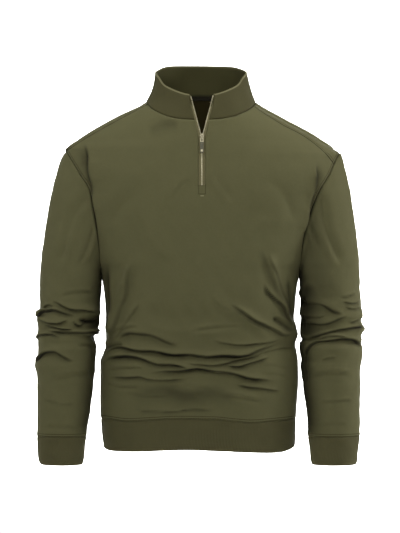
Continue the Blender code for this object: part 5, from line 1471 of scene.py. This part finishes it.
sliderForm = {
    # across the zip, along it and out from the cloth, from the slider's middle
    "plate": [(2.4, -9.5), (3.4, -7.5), (3.4, 1), (4.4, 4.5), (4, 8.2), (2.2, 9.5)],
    "front": (0.1, 1.5), "back": (-3.8, -2.6), "post": (1, 5.6, 9), "bevel": 0.35,
    "flange": (0.5, -6.5, 3.4), "flangeDepth": -1.1,
    "arch": [(-4.35, 1.3), (-4.35, 2.6), (-4.2, 3.6), (-3.4, 4), (0.5, 4.05), (4.4, 4), (5.2, 3.6), (5.35, 2.6),
             (5.35, 1.3)],
    "archHalfWidth": 1, "archHalfThickness": 0.65,
    "pinOut": 2.35, "tabTop": -1.6, "tabBottom": -31.2, "tabHalfWidth": 3.6, "tabHalfThickness": 0.6,
    "eye": (1.6, -7.6, -2.8), "eyeEnd": -10.2, "cover": (-8.9, -30.9), "coverHalfWidth": 3.6,
    "coverHalfThickness": 0.95, "window": (2.3, -29, -24.4), "barHeight": 0.85,
}


def sliderAxes():
    # across, along and out from the cloth at the slider, and its middle
    upper = frontPoint(zipForm["centre"], zipForm["sliderHeight"] + 9.0)
    lower = frontPoint(zipForm["centre"], zipForm["sliderHeight"] - 9.0)
    along = unit(upper - lower)
    return np.array([1.0, 0.0, 0.0]), along, np.array([0.0, -along[2], along[1]]), frontPoint(
        zipForm["centre"], zipForm["sliderHeight"])


def roundedBox(half, low, high, corner, count=12):
    # outline of a box with round corners, from the right side round
    turn = np.concatenate([np.linspace(start, start + math.pi / 2, count // 4 + 1) for start in
                           (0.0, math.pi / 2, math.pi, 1.5 * math.pi)])
    quarter = np.repeat(np.arange(4), count // 4 + 1)
    wayX, wayY = np.array([1, -1, -1, 1])[quarter], np.array([1, 1, -1, -1])[quarter]
    middle = 0.5 * (low + high)
    return np.stack([wayX * (half - corner) + corner * np.cos(turn),
                     middle + wayY * (0.5 * (high - low) - corner) + corner * np.sin(turn)], axis=1)


def inset(outline, step):
    # an outline moved inwards along the mean of its neighbours' normals
    way = np.roll(outline, -1, axis=0) - np.roll(outline, 1, axis=0)
    normal = unit(np.stack([way[:, 1], -way[:, 0]], axis=1))
    return outline - normal * step


def ringBody(rings, centres=None):
    # closed body through rings with as many points: capped to two middle points, or without them joined end to end
    rings = np.array(rings)
    rows, count = rings.shape[:2]
    points = rings.reshape(-1, 3)
    if centres is None:
        return points, (gridFaces(rows + 1, count, closed=True) % (rows * count)).tolist()
    j = np.arange(count)
    k = (j + 1) % count
    last = (rows - 1) * count
    lowCap = np.stack([k, j, np.full(count, len(points))], axis=1)
    highCap = np.stack([last + j, last + k, np.full(count, len(points) + 1)], axis=1)
    faces = gridFaces(rows, count, closed=True).tolist() + lowCap.tolist() + highCap.tolist()
    return np.concatenate([points, centres]), faces


def levelRings(*rings):
    # outlines each at its own height
    return [np.column_stack([outline, np.full(len(outline), level)]) for outline, level in rings]


def plateBody(outline, low, high, bevel):
    # slab over an outline with bevelled rims
    small, middle = inset(outline, bevel), outline.mean(axis=0)
    return ringBody(levelRings((small, low), (outline, low + bevel), (outline, high - bevel), (small, high)),
                    [(*middle, low), (*middle, high)])


def frameBody(outer, inner, low, high, bevel):
    # frame between two outlines with as many points: a ring-shaped tube with bevelled rims
    wide, small = inset(inner, -bevel), inset(outer, bevel)
    return ringBody(levelRings((inner, low + bevel), (inner, high - bevel), (wide, high), (small, high),
                               (outer, high - bevel), (outer, low + bevel), (small, low), (wide, low)))


def archBody(path, halfWidth, halfThick, count=40):
    # strap with a rounded section carried along a path in the plane of along and out
    knots = np.array(path, float)
    run = lengthAlong(knots, 0)
    at = np.linspace(0.0, run[-1], count)
    line = readAlong(at, run, knots)
    line[1:-1] = 0.25 * line[:-2] + 0.5 * line[1:-1] + 0.25 * line[2:]
    tangent = unit(np.gradient(line, axis=0))
    normal = np.stack([-tangent[:, 1], tangent[:, 0]], axis=1)
    section = roundedBox(halfWidth, -halfThick, halfThick, 0.3)
    points = np.stack([section[None, :, 0] + 0.0 * at[:, None],
                       line[:, :1] + normal[:, :1] * section[None, :, 1],
                       line[:, 1:] + normal[:, 1:] * section[None, :, 1]], axis=-1)
    return ringBody(points, [points[0].mean(axis=0), points[-1].mean(axis=0)])


def zipPart(name, bodies, material, body, dusk=0.0):
    # bodies given as across, along, out are joined in one mesh and turned to the slider's axes
    across, along, out, middle = sliderAxes()
    points, faces, start = [], [], 0
    for local, cells in bodies:
        points.append(middle + local[:, :1] * across + local[:, 1:2] * along + local[:, 2:] * out)
        faces += [tuple(i + start for i in cell) for cell in cells]
        start += len(local)
    points = np.concatenate(points)
    piece = makeMesh(name, points, faces, material, {"dusk": np.full(len(points), dusk)}, body=body, smooth=False)
    faceOut(piece)
    return piece


def sliderPiece(material):
    # two plates joined by a post, lips along the upper plate's sides, and the arch for the pull
    form = sliderForm
    half = np.array(form["plate"])
    outline = np.concatenate([half, half[::-1] * (-1.0, 1.0)])
    postHalf, postLow, postHigh = form["post"]
    post = roundedBox(postHalf, postLow, postHigh, 0.4)
    bodies = [plateBody(outline, *form["front"], form["bevel"]), plateBody(outline, *form["back"], form["bevel"]),
              plateBody(post, form["back"][1] - 0.2, form["front"][0] + 0.2, 0.1),
              archBody(form["arch"], form["archHalfWidth"], form["archHalfThickness"])]
    wide, low, high = form["flange"]
    for side in (-1.0, 1.0):
        lip = roundedBox(wide * 0.5, low, high, 0.2) + np.array([side * (3.4 - wide * 0.5), 0.0])
        bodies.append(plateBody(lip, form["flangeDepth"], form["front"][0] + 0.3, 0.12))
    return zipPart("zipSlider", bodies, material, "garment", zipLook["sliderGrime"])


def pullPieces(metal, cover):
    # metal blank with an eye, a tongue and a bar that shows in the cover's window, and the moulded cover round it
    form = sliderForm
    out = form["pinOut"]
    thick = form["tabHalfThickness"]
    eyeHalf, eyeLow, eyeHigh = form["eye"]
    eye = frameBody(roundedBox(form["tabHalfWidth"], form["eyeEnd"], form["tabTop"], 1.0),
                    roundedBox(eyeHalf, eyeLow, eyeHigh, 0.5), out - thick, out + thick, 0.2)
    tongue = plateBody(roundedBox(2.8, form["tabBottom"] + 1.4, form["eyeEnd"] + 0.5, 0.8), out - thick * 0.8,
                       out + thick * 0.8, 0.15)
    windowHalf, windowLow, windowHigh = form["window"]
    bar = plateBody(roundedBox(windowHalf * 0.85, windowLow + 0.9, windowHigh - 0.9, 0.4), out, out + form["barHeight"],
                    0.2)
    blank = zipPart("pullBlank", [eye, tongue, bar], metal, "pull", zipLook["blankGrime"])
    coverTop, coverEnd = form["cover"]
    mouldedThick = form["coverHalfThickness"]
    moulded = frameBody(roundedBox(form["coverHalfWidth"], coverEnd, coverTop, 1.5),
                        roundedBox(windowHalf, windowLow, windowHigh, 0.5), out - mouldedThick, out + mouldedThick, 0.3)
    return blank, zipPart("pullCover", [moulded], cover, "pull")


metalFinish = zipMetal()
coverTone = coverFinish()
slider = sliderPiece(metalFinish)
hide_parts("zip_slider")
pullBlank, pullCover = pullPieces(metalFinish, coverTone)
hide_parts("pull_tab")
print("slider and pull:", len(slider.data.polygons), len(pullBlank.data.polygons) + len(pullCover.data.polygons))

tapeFinish = tapeWeave()
tapes = [tapePiece(side, tapeFinish) for side in (-1, 1)]
teeth = [teethPiece(side, metalFinish) for side in (-1, 1)]
for tape, row, node in zip(tapes, teeth, ("zip_tape_left", "zip_tape_right")):
    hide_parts(node)
print("zip:", sum(len(piece.data.polygons) for piece in tapes + teeth))


stageLook = {"floor": "F2F2F0", "floorHeight": -1.05, "wallPlace": 11.0, "bend": 2.0, "halfWidth": 12.0,
             "wallTop": 8.0}


def sweep():
    # floor that bends up into a back wall, as one sheet
    reach, bend, wide = stageLook["wallPlace"], stageLook["bend"], stageLook["halfWidth"]
    turn = np.linspace(0.0, math.pi / 2, 12)[1:]
    y = np.concatenate([np.linspace(-wide, reach - bend, 16), reach - bend + bend * np.sin(turn), np.full(5, reach)])
    z = np.concatenate([np.zeros(16), bend - bend * np.cos(turn), np.linspace(bend + 0.5, stageLook["wallTop"], 5)])
    z, x = z + stageLook["floorHeight"], np.linspace(-wide, wide, 12)
    grid = np.stack(np.broadcast_arrays(x[None], y[:, None], z[:, None]), axis=-1)
    mesh = bpy.data.meshes.new("studioSweep")
    mesh.from_pydata(grid.reshape(-1, 3).tolist(), [], gridFaces(*grid.shape[:2]).tolist())
    mesh.polygons.foreach_set("use_smooth", np.full(len(mesh.polygons), True))
    paper = newMaterial("pale studio paper", Base_Color=linear(stageLook["floor"]), Roughness=0.9)[0]
    mesh.materials.append(paper)
    addObject("studioSweep", mesh)


sweep()


def softLight(name, place, target, size, power):
    # white lamp with an even rectangle of light, turned to its target
    light = bpy.data.lights.new(name, "AREA")
    light.shape = "RECTANGLE"
    light.size, light.size_y = size
    light.energy = power
    lamp = addObject(name, light)
    lamp.location = place
    way = np.array(target) - np.array(place)
    yaw = math.atan2(way[0], way[1])
    pitch = math.atan2(way[2], math.hypot(way[0], way[1]))
    lamp.rotation_euler = (math.pi / 2 + pitch, 0.0, -yaw)


lightRig = {
    # name: place, target, size, power in watts
    "nearTopLeft": ((-0.9, -1.5, 0.9), (0.0, 0.0, -0.2), (0.9, 0.7), 11.4),
    "nearTop": ((0.0, -0.5, 1.1), (0.0, 0.0, -0.2), (1.4, 0.6), 11.4),
    "nearChest": ((0.32, -1.15, 0.45), (0.0, 0.0, -0.15), (0.8, 0.4), 4.6),
    "leftRim": ((-2.6, 0.5, 0.6), (0.0, 0.0, -0.35), (0.8, 1.6), 19.0),
    "rightRim": ((2.6, 0.3, 0.6), (0.0, 0.0, -0.35), (0.8, 1.6), 58.0),
    "backFill": ((0.6, 3.2, 1.2), (0.0, 0.0, -0.3), (1.8, 1.4), 30.0),
    "leftBackdrop": ((-3.0, 4.6, 2.4), (-0.6, 10.6, -0.3), (1.4, 3.0), 1450.0),
    "rightBackdrop": ((3.0, 4.6, 2.4), (0.6, 10.6, -0.3), (1.4, 3.0), 1450.0),
}
for lampName, (place, target, size, power) in lightRig.items():
    softLight(lampName, place, target, size, power)

airLook = {"colour": "FFFFFF", "strength": 0.12}
world = bpy.data.worlds.new("studioAir")
world.use_nodes = True
world.node_tree.nodes["Background"].inputs["Color"].default_value = linear(airLook["colour"])
world.node_tree.nodes["Background"].inputs["Strength"].default_value = airLook["strength"]
bpy.context.scene.world = world
bpy.context.scene.view_settings.view_transform = "Standard"

# the photograph is 533 pixels high, at 2.05 mm a pixel
cameraLook = {"distance": 6.0, "height": -0.329, "imageHeight": 533 * 2.05 * mm, "sensor": 36.0}
camera = bpy.data.cameras.new("photoCamera")
camera.sensor_fit = "VERTICAL"
camera.sensor_height = cameraLook["sensor"]
camera.lens = cameraLook["sensor"] * cameraLook["distance"] / cameraLook["imageHeight"]
camera.clip_end = 60.0
cameraObject = addObject("photoCamera", camera)
cameraObject.location = (0.0, -cameraLook["distance"], cameraLook["height"])
cameraObject.rotation_euler = (math.pi / 2, 0.0, 0.0)
bpy.context.scene.camera = cameraObject
